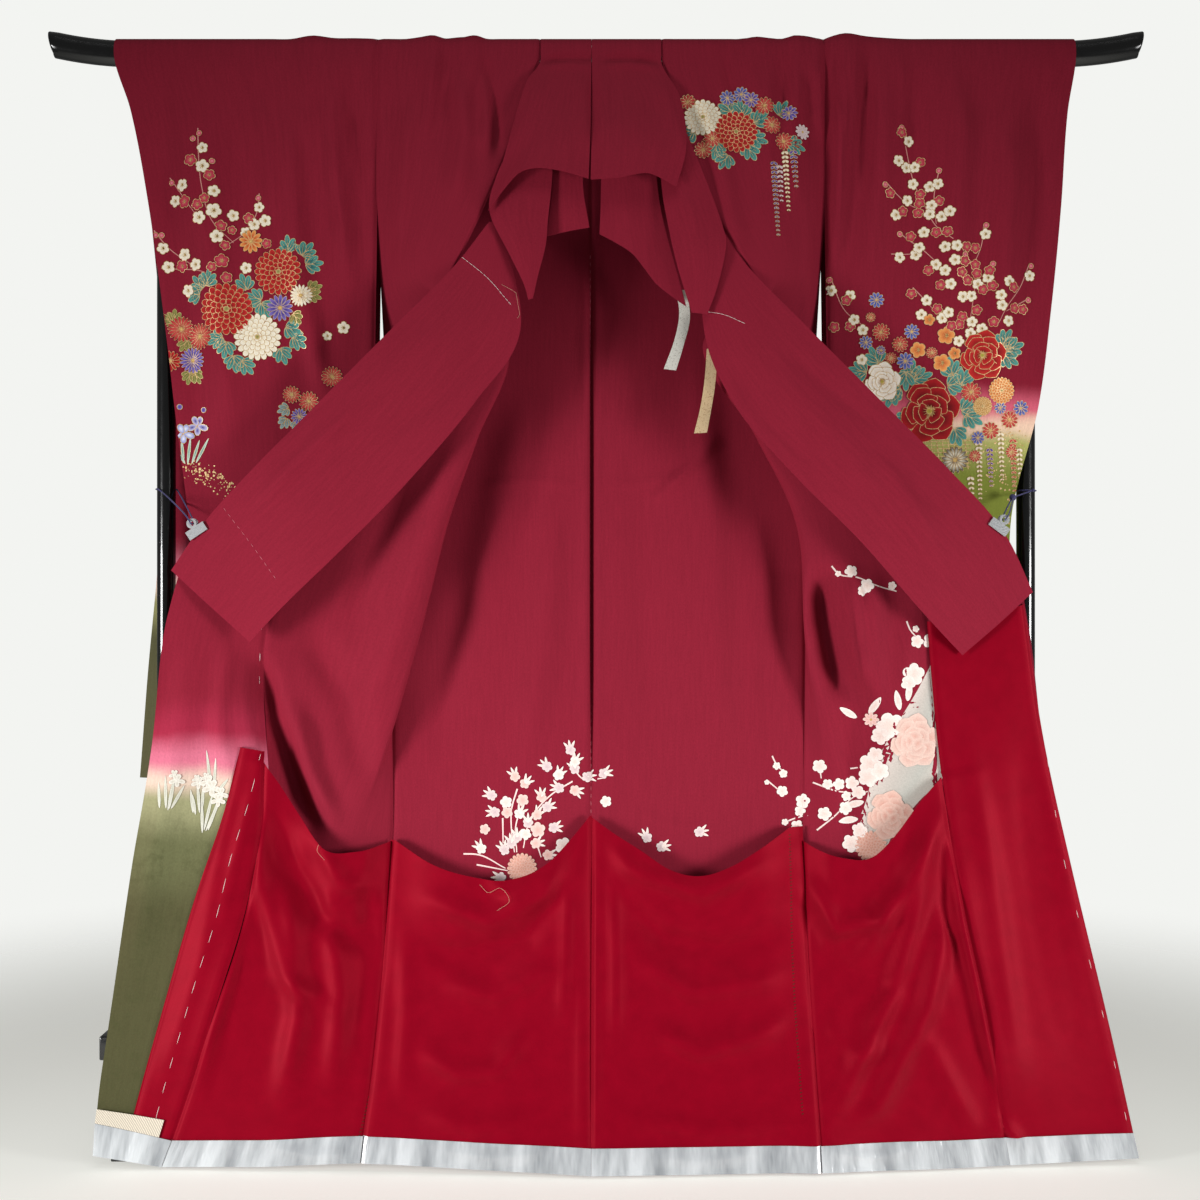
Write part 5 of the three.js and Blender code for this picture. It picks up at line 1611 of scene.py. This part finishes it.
def paint_right_sleeve(cloth: Cloth) -> None:
    """A tall plum over peonies and wisteria, its foot on gilded green."""
    art = Painting("sleeve_right", [cloth], RIGHT_SHEET)
    for line in (
            ((325, 55), (345, 150), (365, 230), (390, 290), (430, 375), (490, 430), (550, 520),
             (545, 640), (530, 720)),
            ((443, 190), (425, 290), (432, 370)), ((275, 240), (330, 290), (385, 320)),
            ((320, 395), (380, 440), (430, 490), (470, 530)), ((290, 463), (380, 460)),
            ((583, 370), (575, 440), (550, 500)), ((733, 495), (700, 570), (650, 640), (620, 700)),
            ((720, 610), (650, 650)), ((360, 570), (430, 650)),
            ((98, 540), (150, 650), (200, 690))):
        art.branch(*line)
    for x, y in ((323, 60), (441, 200), (268, 245), (590, 375), (738, 500), (728, 610), (95, 545),
                 (318, 398), (520, 470), (610, 500)):
        art.bud(x, y, 9, PINK)
    for x, y in (
            (323, 75), (385, 168), (285, 270), (385, 272), (383, 300), (328, 325), (378, 330),
            (440, 297), (432, 397), (465, 397), (355, 405), (408, 517), (525, 445), (555, 447),
            (520, 490), (555, 500), (510, 525), (530, 550), (560, 528), (445, 565), (580, 580),
            (608, 570), (600, 520), (675, 572), (680, 638), (710, 640), (435, 640), (515, 665),
            (505, 690), (480, 695), (560, 645), (355, 590), (148, 610), (160, 693), (110, 695),
            (610, 685)):
        art.plum(x, y, 17, PLUM_RED)
    for x, y in (
            (347, 100), (313, 165), (340, 185), (368, 183), (362, 237), (343, 290), (305, 338),
            (413, 250), (437, 242), (418, 310), (412, 338), (448, 348), (472, 333), (395, 395),
            (380, 443), (370, 465), (318, 472), (430, 500), (458, 445), (493, 443), (458, 520),
            (487, 488), (475, 563), (588, 403), (595, 543), (563, 562), (515, 602), (543, 600),
            (402, 613), (385, 658), (450, 670), (470, 652), (733, 532), (660, 555), (633, 600),
            (636, 632), (658, 680), (545, 682), (575, 705), (540, 718), (503, 743), (100, 578),
            (160, 595), (173, 672), (200, 705), (197, 800)):
        art.plum(x, y, 18, WHITE)
    for x, y, turn in (
            (650, 740, 60), (678, 762, 20), (662, 797, -30), (240, 790, 120), (190, 835, 170),
            (355, 838, 80), (385, 858, 20), (338, 862, -90), (290, 918, -110), (480, 830, 100),
            (492, 880, 10), (522, 862, 60), (535, 955, 20), (548, 988, -30), (500, 1042, -70),
            (180, 880, 200), (330, 1000, 220), (300, 900, 200)):
        art.leaf(x, y, 58, turn)
    for x, y, r in ((243, 610, 25), (210, 745, 22), (355, 712, 25), (335, 805, 28), (258, 770, 15),
                    (637, 955, 20), (705, 955, 25), (567, 1050, 22)):
        art.daisy(x, y, r, BLUE, 10)
    for x, y, r in (
            (225, 665, 15), (258, 712, 28), (318, 752, 25), (290, 795, 18), (418, 780, 18),
            (543, 905, 32), (668, 992, 28), (607, 1027, 28), (558, 1108, 20), (676, 1095, 20)):
        art.daisy(x, y, r, CORAL, 12)
    for x, y, r in ((463, 725, 28), (450, 812, 28), (490, 782, 20), (410, 675, 18), (375, 770, 25)):
        art.plum(x, y, r, ORANGE)
    for x, top, bottom, shades in (
            (570, 1060, 1250, WHITE), (640, 1030, 1190, WHITE), (545, 1170, 1250, WHITE),
            (680, 1050, 1240, CORAL), (605, 1080, 1210, VIOLET), (700, 1080, 1200, WHITE)):
        art.wisteria(x, top, bottom, shades, 8)
    art.peony(262, 870, 62, Shades("#e6d0b8", "#f7efe2"))
    art.peony(577, 790, 77, SCARLET)
    art.peony(412, 965, 100, DARK_RED)
    art.chrysanthemum(640, 900, 42, ORANGE)
    art.chrysanthemum(580, 950, 30, OCHRE)
    art.flakes([(600, 1080), (690, 1200), (700, 1350)], 34, 150, 3.0, 7)
    art.flakes([(620, 1030), (740, 1060)], 18, 60, 2.6, 8)
    for step in range(8):
        art.stroke([(400 + 18 * step, 1060), (412 + 18 * step, 1150)], (1.1, 1.1), GOLD_LINE, 0.2,
                   Ink.GOLD)
        art.stroke([(400, 1062 + 12 * step), (545, 1058 + 12 * step)], (1.0, 1.0), GOLD_LINE, 0.24,
                   Ink.GOLD)
    art.daisy(495, 1120, 44, SOOT, 16)
    art.build()


def paint_shoulder(cloth: Cloth) -> None:
    """Chrysanthemums and wisteria on the right shoulder."""
    art = Painting("shoulder", [cloth], SHOULDER_SHEET)
    for x, y, turn in (
            (688, 135, 200), (715, 152, -100), (724, 163, -120), (750, 152, -60), (757, 140, -20),
            (742, 108, 100), (760, 118, 40), (783, 108, 60), (795, 146, -10), (728, 105, 120)):
        art.leaf(x, y, 17, turn)
    for x, y, shades in ((742, 92, BLUE), (728, 96, BLUE), (752, 98, VIOLET), (688, 101, CORAL),
                         (790, 112, VIOLET), (803, 130, PALE_GREY)):
        art.daisy(x, y, 8, shades, 10)
    for x, y in ((765, 105), (772, 125), (784, 141), (703, 152), (712, 141)):
        art.daisy(x, y, 9, CORAL, 12)
    art.wisteria(773, 162, 240, VIOLET, 4)
    art.wisteria(785, 150, 214, WHITE, 3)
    art.wisteria(779, 165, 205, PALE_GREY, 2)
    art.wisteria(793, 150, 190, VIOLET, 3)
    art.chrysanthemum(736, 132, 22, SCARLET)
    art.chrysanthemum(703, 118, 19, WHITE)
    art.build()


def paint_inside_back(left: Cloth, right: Cloth) -> None:
    """The faint reverse of the hem's flowers, inside the backs."""
    art = Painting("inside_back", [left, right], BACK_SHEET)
    for line in (
            ((490, 80), (500, 150), (530, 190), (640, 190)),
            ((490, 205), (400, 260), (330, 330), (290, 400), (270, 500)),
            ((240, 240), (215, 330), (215, 420), (230, 520)), ((270, 300), (235, 400), (240, 520)),
            ((330, 480), (350, 540)), ((0, 528), (60, 530), (190, 590)), ((60, 575), (200, 600)),
            ((175, 370), (178, 480))):
        art.stroke(line, (2.2, 1.4), "#ecd2cc", 0.1)
    for x, y, turn in (
            (480, 65, 100), (500, 118, 60), (375, 140, 135), (425, 178, 60), (500, 150, 110),
            (555, 185, 10), (630, 170, 20), (230, 185, 115), (275, 215, 50), (125, 270, 150),
            (140, 345, 170), (430, 235, 160), (500, 245, -20), (350, 275, 100), (375, 320, 30),
            (250, 350, 60), (330, 355, 60), (290, 390, 90), (405, 410, 10), (325, 480, 20),
            (380, 530, 0), (80, 505, 130), (215, 480, 100), (185, 510, 120), (240, 455, 90),
            (825, 455, 120), (890, 495, 10), (1060, 430, 10), (170, 630, 180)):
        shades = (PALE, PALE_PINK, PALE_GREY)[(x + y) % 3]
        for spread in (-34, 0, 34):
            art.blade(x, y, 46, turn + spread, PALE, 15)
        art.plum(x, y, 24, shades)
    for x, y, r in ((190, 300, 28), (265, 290, 28), (640, 295, 26), (195, 345, 26), (335, 420, 34),
                    (280, 440, 26), (95, 420, 24), (450, 490, 38), (430, 175, 24)):
        art.plum(x, y, r, (PALE, PALE_PINK)[(x // 5) % 2])
    art.chrysanthemum(265, 590, 68, PALE_CORAL)
    art.build()


def paint_inside_front(front: Cloth, overlap: Cloth, back: Cloth) -> None:
    """The faint reverse of the hem's flowers, inside the right front and its overlap."""
    art = Painting("inside_front", [front, overlap, back], FRONT_SHEET)
    art.between([(763, 455), (690, 600), (600, 745), (500, 950), (455, 1130), (390, 1290),
                 (372, 1345)],
                [(768, 455), (790, 600), (785, 800), (800, 990), (690, 1110), (560, 1290),
                 (540, 1345)],
                ["#cfc3bb", "#bdb4ac", "#b4b2aa", "#c6bcb2"], 0.05)
    for line in (
            ((300, 50), (330, 85), (420, 105), (500, 140), (590, 165)),
            ((635, 300), (650, 340), (690, 380), (740, 400)),
            ((225, 1040), (350, 1080), (430, 1085), (500, 1060)),
            ((240, 1255), (330, 1180), (400, 1110), (430, 1085)), ((255, 965), (262, 1020)),
            ((40, 920), (60, 960), (100, 1000)), ((15, 1030), (75, 1080)),
            ((95, 1220), (150, 1200), (200, 1190)), ((395, 975), (440, 965))):
        art.stroke(line, (2.2, 1.5), "#e2ccc6", 0.12)
    for x, y, r in (
            (385, 75, 28), (455, 140, 32), (430, 165, 24), (570, 140, 20), (675, 335, 16),
            (680, 392, 30), (745, 390, 38), (768, 366, 18), (330, 85, 14), (665, 540, 52),
            (640, 580, 34), (560, 770, 60), (520, 820, 40), (480, 950, 50), (500, 905, 34),
            (470, 1010, 44), (520, 980, 40), (255, 965, 32), (290, 1045, 24), (340, 1045, 28),
            (400, 1040, 32), (375, 1100, 24), (428, 1080, 30), (370, 1155, 32), (275, 1180, 32),
            (60, 965, 18), (90, 1000, 20), (85, 1080, 26), (15, 1040, 12), (178, 1125, 34),
            (165, 1170, 26), (150, 1240, 30), (95, 1220, 16), (390, 1310, 40), (430, 1250, 34)):
        art.plum(x, y, r, PALE)
    for x, y, turn in ((635, 660, 80), (600, 700, 100), (420, 740, 150), (470, 720, 60),
                       (450, 1120, 200), (425, 1200, 190)):
        art.blade(x, y, 90, turn, PALE, 40)
    art.daisy(480, 745, 34, PALE_PINK, 8)
    art.peony(668, 840, 120, Shades("#cf9f92", "#dcc0b4", False))
    art.peony(560, 1180, 110, Shades("#cc9486", "#dbb8aa", False))
    art.chrysanthemum(478, 1320, 72, PALE_CORAL)
    art.build()


def paint_overlap_foot(cloth: Cloth) -> None:
    """White irises where the left overlap turns from red to green."""
    art = Painting("overlap_foot", [cloth], FOOT_SHEET)
    for x, y, length, turn in (
            (145, 425, 165, 94), (185, 428, 210, 92), (196, 440, 190, 80), (205, 430, 230, 82),
            (215, 430, 170, 62), (350, 460, 150, 97), (365, 470, 130, 100), (390, 460, 200, 95),
            (405, 440, 160, 88), (460, 330, 270, 97), (475, 320, 210, 86), (420, 570, 250, 78),
            (430, 575, 240, 66), (445, 570, 220, 72), (500, 330, 110, 52), (410, 585, 200, 92)):
        art.blade(x, y, length, turn, Shades("#b4b5a4", "#cfcdc1", False), 25)
    for x, y, r in ((250, 250, 46), (235, 215, 34), (380, 268, 44), (440, 262, 50), (465, 300, 60),
                    (430, 235, 34), (520, 340, 50), (505, 380, 46), (370, 245, 30)):
        art.iris(x, y, r, Shades("#c2bcae", "#ddd8ce", False))
    art.build()


# ---- stand ------------------------------------------------------------------------------------


ROUND_SHARP = 50.0  # from how many degrees on an edge of a round piece is sharp


def lacquered(obj: bpy.types.Object, node: str) -> None:
    """Lacquers a rigid piece and puts it in the place of its node."""
    obj.data.materials.append(LACQUER.material())
    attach(obj, "root")
    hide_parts(node)
    LOG.info("%s: %d faces", obj.name, len(obj.data.polygons))


def closed(obj: bpy.types.Object, sharp: float, bevel: float = 0.0) -> bpy.types.Object:
    """The solid with its faces turned outwards, smooth but for its edges.

    Args:
        obj: The solid.
        sharp: From how many degrees on an edge stays sharp.
        bevel: The radius its edges are rounded with first, if any.

    Returns:
        The same object.
    """
    shape = bmesh.new()
    shape.from_mesh(obj.data)
    if bevel:
        bmesh.ops.bevel(shape, geom=list(shape.edges), offset=bevel * MM, segments=3,
                        affect="EDGES", profile=0.5)
    bmesh.ops.recalc_face_normals(shape, faces=shape.faces)
    shape.to_mesh(obj.data)
    shape.free()
    obj.data.shade_smooth()
    obj.data.set_sharp_from_angle(angle=math.radians(sharp))
    return obj


def rounded_block(name: str, plan: Sequence[Spot], low: float, high: float, axis: str,
                  bevel: float) -> bpy.types.Object:
    """A block from a plan drawn between two levels, its edges rounded.

    Args:
        name: The object's name.
        plan: The outline, anticlockwise; x and y where the axis is z, y and z where it is x.
        low: The first level along the axis.
        high: The last one.
        axis: The axis it runs along, x or z.
        bevel: The rounding's radius.

    Returns:
        The object.
    """
    points = [(level, a, b) if axis == "x" else (a, b, level)
              for level in (low, high) for a, b in plan]
    faces = end_faces(len(plan)) + round_faces(len(plan))
    obj = mesh_object(name, np.array(points, float), faces)
    return closed(obj, 40, bevel)


def bar(name: str, rings: Sequence[tuple[Vector, float, float]], sides: int) -> bpy.types.Object:
    """A round bar through rings in the plane of X and Z.

    Args:
        name: The object's name.
        rings: For each ring its middle, its radius and its tilt from the upright.
        sides: The bar's sides.

    Returns:
        The object.
    """
    points = [(middle.x - up * math.sin(tilt), middle.y + out, middle.z + up * math.cos(tilt))
              for middle, radius, tilt in rings for out, up in circle(radius, sides)]
    faces = round_faces(sides, len(rings)) + end_faces(sides, len(rings))
    return closed(mesh_object(name, np.array(points), faces), ROUND_SHARP)


SIDES = (("left", -1), ("right", 1))  # each side's name and its direction along X


@dataclass
class Stand:
    """The stand: a rail with turned-up ends on two posts, a low rail and two feet."""

    rail_radius: float = 18.0
    rail_height: float = 1545.0
    rail_straight: float = 650.0
    rail_reach: float = 772.0
    rail_rise: float = 14.0
    rail_lean: float = 0.22
    rail_rim: tuple[Spot, ...] = ((2.0, 0.0), (0.6, 0.5), (0.0, 2.0))  # its ends' rounding
    rail_rings: int = 17
    rail_sides: int = 64
    post_radius: float = 13.0
    post_x: float = 610.0
    post_gap: float = 0.3  # from a post's ends to the foot and the rail
    post_sides: int = 48
    foot_width: float = 110.0
    foot_depth: float = 170.0
    foot_height: float = 42.0
    foot_slope: float = 22.0
    foot_bevel: float = 2.0
    low_reach: float = 700.0
    low_depth: float = 40.0
    low_bottom: float = 121.0
    low_top: float = 155.0
    low_bevel: float = 2.5

    def top_rail(self) -> None:
        """The top rail, its ends curved up, cut slanting and rounded at the rim."""
        rings = []
        span = self.rail_reach - self.rail_straight
        for _, side in SIDES:
            line = []
            for part in np.linspace(0, 1, self.rail_rings).tolist():
                x = side * (self.rail_straight + span * part)
                z = self.rail_height + self.rail_rise * part * part
                slope = side * 2 * self.rail_rise * part / span
                line.append((Vector((x, 0.0, z)), self.rail_radius, slope))
            middle, radius, slope = line[-1]
            tilt = -side * self.rail_lean
            line[-1:] = [(middle - Vector((side * back, 0, 0)), radius - less, tilt)
                         for back, less in self.rail_rim]
            rings += line[::-1] if side < 0 else line
        lacquered(bar("stand_top_rail", rings, self.rail_sides), "top_rail")

    def posts(self) -> None:
        """The two round posts, from their feet to the rail."""
        levels = (self.foot_height + self.post_gap,
                  self.rail_height - self.rail_radius - self.post_gap)
        for name, side in SIDES:
            points = [(side * self.post_x + x, y, z)
                      for z in levels for x, y in circle(self.post_radius, self.post_sides)]
            obj = mesh_object(f"stand_post_{name}", np.array(points),
                              round_faces(self.post_sides) + end_faces(self.post_sides))
            obj.data.set_sharp_from_angle(angle=math.radians(ROUND_SHARP))
            lacquered(obj, f"post_{name}")

    def feet(self) -> None:
        """The two feet, low blocks with sloped toes."""
        half, top = self.foot_depth / 2, self.foot_height
        plan = [(-half, 0.0), (half, 0.0), (half, top - self.foot_slope),
                (half - self.foot_slope, top), (-half + self.foot_slope, top),
                (-half, top - self.foot_slope)]
        for name, side in SIDES:
            middle, reach = side * self.post_x, self.foot_width / 2
            lacquered(rounded_block(f"stand_foot_{name}", plan, middle - reach, middle + reach,
                                    "x", self.foot_bevel), f"foot_{name}")

    def low_rail(self) -> None:
        """The low rail between the posts."""
        reach, half = self.low_reach, self.low_depth / 2
        plan = [(-reach, -half), (reach, -half), (reach, half), (-reach, half)]
        lacquered(rounded_block("stand_low_rail", plan, self.low_bottom, self.low_top, "z",
                                self.low_bevel), "low_rail")

    def build(self) -> None:
        """Makes the stand's pieces."""
        self.top_rail()
        self.posts()
        self.feet()
        self.low_rail()


def dress_fastenings() -> None:
    """Gives the clips and the cords that hold the collar's ends their finishes."""
    for node, finish in (("clip_left", STEEL), ("clip_right", STEEL), ("tie_left", CORD),
                         ("tie_right", CORD)):
        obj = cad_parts[node]
        for slot in obj.material_slots:
            slot.material = finish.material()
        LOG.info("%s: %s", node, finish.name)


# ---- stitches -----------------------------------------------------------------------------------


@dataclass(frozen=True)
class SewingThread(Finish):
    """Spun thread: matt, with a twist."""

    name: str
    colour: str

    def surface(self, tree: Tree) -> Socket:
        """One colour, its plies turned round it."""
        plies = add_node(tree, "ShaderNodeTexWave", {
            "Vector": in_space(tree), "Scale": 1500.0, "Distortion": 1.5},
            bands_direction="DIAGONAL").outputs[0]
        return lit(tree, linear(self.colour), 0.8, bumped(tree, plies, 0.5, 0.1),
                   Specular_IOR_Level=0.2)


@dataclass(frozen=True)
class Row:
    """Stitches along a line on the front of a piece of cloth."""

    cloth: str
    line: tuple[Spot, ...]
    sheet: Sketch = FRONT_VIEW
    loose: float = 0.0  # how far the thread's middle hangs off the cloth


@dataclass
class Stitching:
    """Rows of one kind of stitch, each stitch placed along its line by geometry nodes."""

    name: str
    finish: SewingThread
    rows: tuple[Row, ...]
    stitch: float  # a stitch's length
    pitch: float  # from one stitch to the next
    thread: float = 0.65  # its thickness
    turn: float = 0.0  # how far a stitch is turned across its line, in degrees
    seed: int = 4

    def lines(self, pieces: dict[str, Cloth]) -> bpy.types.Object:
        """The rows as lines of edges just in front of their cloth."""
        points, edges = [], []
        for row in self.rows:
            cloth = pieces[row.cloth]
            surface = surface_of(cloth.grid)
            spots = row.sheet.curve(row.line, 4, 4)
            start = len(points)
            for part, (x, z) in zip(np.linspace(0, 1, len(spots)), spots):
                hit, _ = met(surface, x, z)
                if hit is not None:
                    hang = row.loose * math.sin(math.pi * part)
                    points.append((x, hit.y - cloth.thickness / 2 - self.thread / 3 - hang, z))
            edges += [(i, i + 1) for i in range(start, len(points) - 1)]
        mesh = bpy.data.meshes.new(f"rows_{self.name}")
        mesh.from_pydata(metres(np.array(points)).tolist(), edges, [])
        return in_scene(f"stitches_{self.name}", mesh)

    def tree(self) -> Tree:
        """Nodes that lay a rounded stitch at even steps along each line."""
        tree = bpy.data.node_groups.new(f"stitch_{self.name}", "GeometryNodeTree")
        tree.interface.new_socket("Lines", in_out="INPUT", socket_type="NodeSocketGeometry")
        for name in ("Stitch", "Pitch", "Thread", "Turn"):
            tree.interface.new_socket(name, in_out="INPUT", socket_type="NodeSocketFloat")
        tree.interface.new_socket("Seed", in_out="INPUT", socket_type="NodeSocketInt")
        tree.interface.new_socket("Stitches", in_out="OUTPUT", socket_type="NodeSocketGeometry")
        given = add_node(tree, "NodeGroupInput").outputs
        curve = add_node(tree, "GeometryNodeMeshToCurve", {"Mesh": given["Lines"]})
        even = add_node(tree, "GeometryNodeResampleCurve", {
            "Curve": curve.outputs[0], "Length": given["Pitch"]}, mode="LENGTH")
        ahead = add_node(tree, "GeometryNodeInputTangent")
        turned_by = add_node(tree, "ShaderNodeVectorRotate", {
            "Vector": ahead.outputs[0], "Axis": (0.0, 1.0, 0.0), "Angle": given["Turn"]})
        facing = add_node(tree, "FunctionNodeAlignRotationToVector", {
            "Vector": turned_by.outputs[0]}, axis="Z")
        uneven = add_node(tree, "FunctionNodeRandomValue", {
            2: 0.82, 3: 1.12, "Seed": given["Seed"]}, data_type="FLOAT")
        long = add_node(tree, "ShaderNodeMath", {0: given["Stitch"], 1: uneven.outputs[1]},
                        operation="MULTIPLY")
        size = add_node(tree, "ShaderNodeCombineXYZ", {
            "X": given["Thread"], "Y": given["Thread"], "Z": long.outputs[0]})
        form = add_node(tree, "GeometryNodeMeshUVSphere", {
            "Segments": 7, "Rings": 5, "Radius": 0.5})
        laid = add_node(tree, "GeometryNodeInstanceOnPoints", {
            "Points": even.outputs[0], "Instance": form.outputs[0],
            "Rotation": facing.outputs[0], "Scale": size.outputs[0]})
        real = add_node(tree, "GeometryNodeRealizeInstances", {"Geometry": laid.outputs[0]})
        dressed = add_node(tree, "GeometryNodeSetMaterial", {
            "Geometry": real.outputs[0], "Material": self.finish.material()})
        add_node(tree, "NodeGroupOutput", {"Stitches": dressed.outputs[0]})
        return tree

    def build(self, pieces: dict[str, Cloth]) -> None:
        """Makes the stitches one plain mesh and fastens them to the first row's cloth."""
        obj = self.lines(pieces)
        modifier = obj.modifiers.new("stitches", "NODES")
        modifier.node_group = self.tree()
        sizes = {"Stitch": self.stitch * MM, "Pitch": self.pitch * MM, "Thread": self.thread * MM,
                 "Turn": math.radians(self.turn), "Seed": self.seed}
        for socket in modifier.node_group.interface.items_tree:
            if socket.name in sizes:
                modifier[socket.identifier] = sizes[socket.name]
        ready = obj.evaluated_get(bpy.context.evaluated_depsgraph_get())
        lines, obj.data = obj.data, bpy.data.meshes.new_from_object(ready)
        obj.modifiers.remove(modifier)
        bpy.data.meshes.remove(lines)
        obj.data.shade_smooth()
        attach(obj, "root")
        pieces[self.rows[0].cloth].slot
        pieces[self.rows[0].cloth].with_pieces.append(obj)
        LOG.info("%s: %d faces", obj.name, len(obj.data.polygons))


WHITE_THREAD = SewingThread("white basting thread", "#e6d3cf")
ROSE_THREAD = SewingThread("rose sewing thread", "#c9707a")
TAN_THREAD = SewingThread("tan sewing thread", "#c39a83")
OLIVE_THREAD = SewingThread("olive overcasting thread", "#33301c")


def stitchings() -> list[Stitching]:
    """Every kind of stitch on the kimono."""
    basting = (
        Row("okumi_left", ((264, 627), (261, 660), (259, 684))),
        Row("lining_okumi_left", ((375, 350), (355, 440), (320, 560), (290, 690), (250, 820),
                                  (210, 960), (180, 1060), (155, 1160)), LINING_LEFT),
    )
    tacking = (
        Row("lining_okumi_right", ((1000, 180), (1030, 370), (1053, 540), (1090, 700),
                                   (1130, 860), (1170, 1040), (1185, 1120)), LINING_RIGHT),
    )
    collar = (
        Row("collar_band_left", ((462, 262), (490, 285), (512, 310))),
        Row("collar_band_right", ((700, 318), (722, 322), (740, 330))),
        Row("collar_inner_left", ((499, 222), (501, 240), (503, 254))),
        Row("collar_inner_right", ((727, 272), (738, 262), (745, 254))),
    )
    seams = (
        Row("collar_band_left", ((232, 512), (258, 545), (282, 578))),
        Row("back_left", ((590.5, 250), (590.5, 480), (591, 640), (591.5, 812))),
    )
    edges = (
        Row("lining_okumi_right", ((1014, 180), (1046, 370), (1069, 540), (1106, 700),
                                   (1148, 860), (1188, 1040), (1203, 1120)), LINING_RIGHT),
        Row("lining_front_left", ((668, 545), (652, 830), (624, 1070), (606, 1150)), LINING_LEFT),
        Row("lining_back_right", ((464, 520), (466, 800), (478, 1100)), LINING_RIGHT),
    )
    hanging = (
        Row("lining_back_left", ((860, 625), (876, 640), (905, 628), (925, 655), (900, 676)),
            LINING_LEFT, 5.0),
        Row("lining_front_left", ((490, 510), (512, 520), (505, 548), (520, 566)), LINING_LEFT,
            4.0),
        Row("collar_band_left", ((505, 292), (518, 300), (527, 312), (520, 324)), FRONT_VIEW, 4.0),
        Row("collar_nape_left", ((592, 66), (595, 78), (600, 84)), FRONT_VIEW, 3.0),
    )
    return [
        Stitching("basting", WHITE_THREAD, basting, 20.0, 34.0, 0.6),
        Stitching("tacking", WHITE_THREAD, tacking, 13.0, 62.0, 0.6),
        Stitching("collar", WHITE_THREAD, collar, 7.0, 6.0, 0.6),
        Stitching("overcast", OLIVE_THREAD, edges, 3.6, 4.6, 0.9, 68.0),
        Stitching("seams", ROSE_THREAD, seams, 6.5, 10.5, 0.6),
        Stitching("hanging", TAN_THREAD, hanging, 4.2, 2.6, 0.4),
    ]


# ---- studio -----------------------------------------------------------------------------------


@dataclass
class Studio:
    """The camera, the soft lights and the pale floor."""

    camera_place: Point = (5.7, -2400.0, 770.0)
    lens: float = 50.7
    floor_radius: float = 2600.0
    floor_sides: int = 96
    fade_from: float = 950.0  # how far from the middle the floor starts to fade
    fade_to: float = 0.9  # at what part of its radius it is gone
    backdrop: str = "#f3f4f1"
    floor: str = "#e4e4de"
    ambient: float = 0.13
    spread: float = 66.0  # how wide each lamp shines, in degrees

    def camera(self) -> None:
        """A level camera square to the rail."""
        data = bpy.data.cameras.new("camera")
        data.lens = self.lens
        data.sensor_width = 36.0
        obj = in_scene("camera", data)
        obj.location = metres(np.array(self.camera_place))
        obj.rotation_euler = (math.radians(90), 0.0, 0.0)
        bpy.context.scene.camera = obj

    def lamp(self, name: str, place: Point, aim: Point, size: Spot, watts: float) -> None:
        """An area light that looks at a point."""
        data = bpy.data.lights.new(name, "AREA")
        data.shape = "RECTANGLE"
        data.size, data.size_y = size[0] * MM, size[1] * MM
        data.energy = watts
        data.spread = math.radians(self.spread)
        obj = in_scene(name, data)
        start, end = (Vector(metres(np.array(p))) for p in (place, aim))
        obj.location = start
        obj.rotation_euler = (end - start).to_track_quat("-Z", "Y").to_euler()

    def world(self) -> None:
        """A bright plain backdrop that lights the scene less than it shows."""
        world = bpy.data.worlds.new("studio")
        bpy.context.scene.world = world
        world.use_nodes = True
        tree = world.node_tree
        tree.nodes.clear()
        seen = add_node(tree, "ShaderNodeLightPath").outputs["Is Camera Ray"]
        strength = add_node(tree, "ShaderNodeMapRange", {
            "Value": seen, "To Min": self.ambient, "To Max": 1.0})
        sky = add_node(tree, "ShaderNodeBackground", {
            "Color": linear(self.backdrop), "Strength": strength.outputs[0]})
        add_node(tree, "ShaderNodeOutputWorld", {"Surface": sky.outputs[0]})

    def ground(self) -> None:
        """The floor, which fades into the backdrop."""
        sides = self.floor_sides
        points = [(0.0, 0.0, 0.0)] + [(x, y, 0.0) for x, y in circle(self.floor_radius, sides)]
        faces = [(0, s + 1, (s + 1) % sides + 1) for s in range(sides)]
        obj = mesh_object("floor", np.array(points), faces)
        material, tree = new_material("paper floor")
        place = add_node(tree, "ShaderNodeTexCoord").outputs["Object"]
        reach = add_node(tree, "ShaderNodeVectorMath", {0: place}, operation="LENGTH")
        fade = add_node(tree, "ShaderNodeMapRange", {
            "Value": reach.outputs["Value"], "From Min": self.fade_from * MM,
            "From Max": self.floor_radius * MM * self.fade_to, "To Min": 1.0, "To Max": 0.0},
            interpolation_type="SMOOTHSTEP")
        shader = add_node(tree, "ShaderNodeBsdfPrincipled", {
            "Base Color": linear(self.floor), "Roughness": 0.9, "Specular IOR Level": 0.15,
            "Emission Color": linear(self.floor), "Emission Strength": 0.5,
            "Alpha": fade.outputs[0]})
        add_node(tree, "ShaderNodeOutputMaterial", {"Surface": shader.outputs[0]})
        obj.data.materials.append(material)

    def build(self) -> None:
        """Sets up the studio."""
        bpy.context.scene.view_settings.view_transform = "Standard"
        self.camera()
        self.world()
        self.ground()
        self.lamp("key", (-2150, -1450, 500), (0, 0, 440), (600, 800), 10.6)
        self.lamp("fill", (2150, -1500, 500), (0, 0, 440), (700, 800), 8.9)
        self.lamp("top", (0, -900, 2700), (0, 0, 900), (1800, 700), 1.8)
        LOG.info("studio: camera, world, floor and three lights")


def main() -> None:
    """Builds the stand, the kimono and the studio."""
    logging.basicConfig(level=logging.INFO, format="%(name)s: %(message)s")
    Studio().build()
    Stand().build()
    Kimono().build()
    dress_fastenings()
    bpy.context.view_layer.update()


if __name__ == "__main__":
    main()
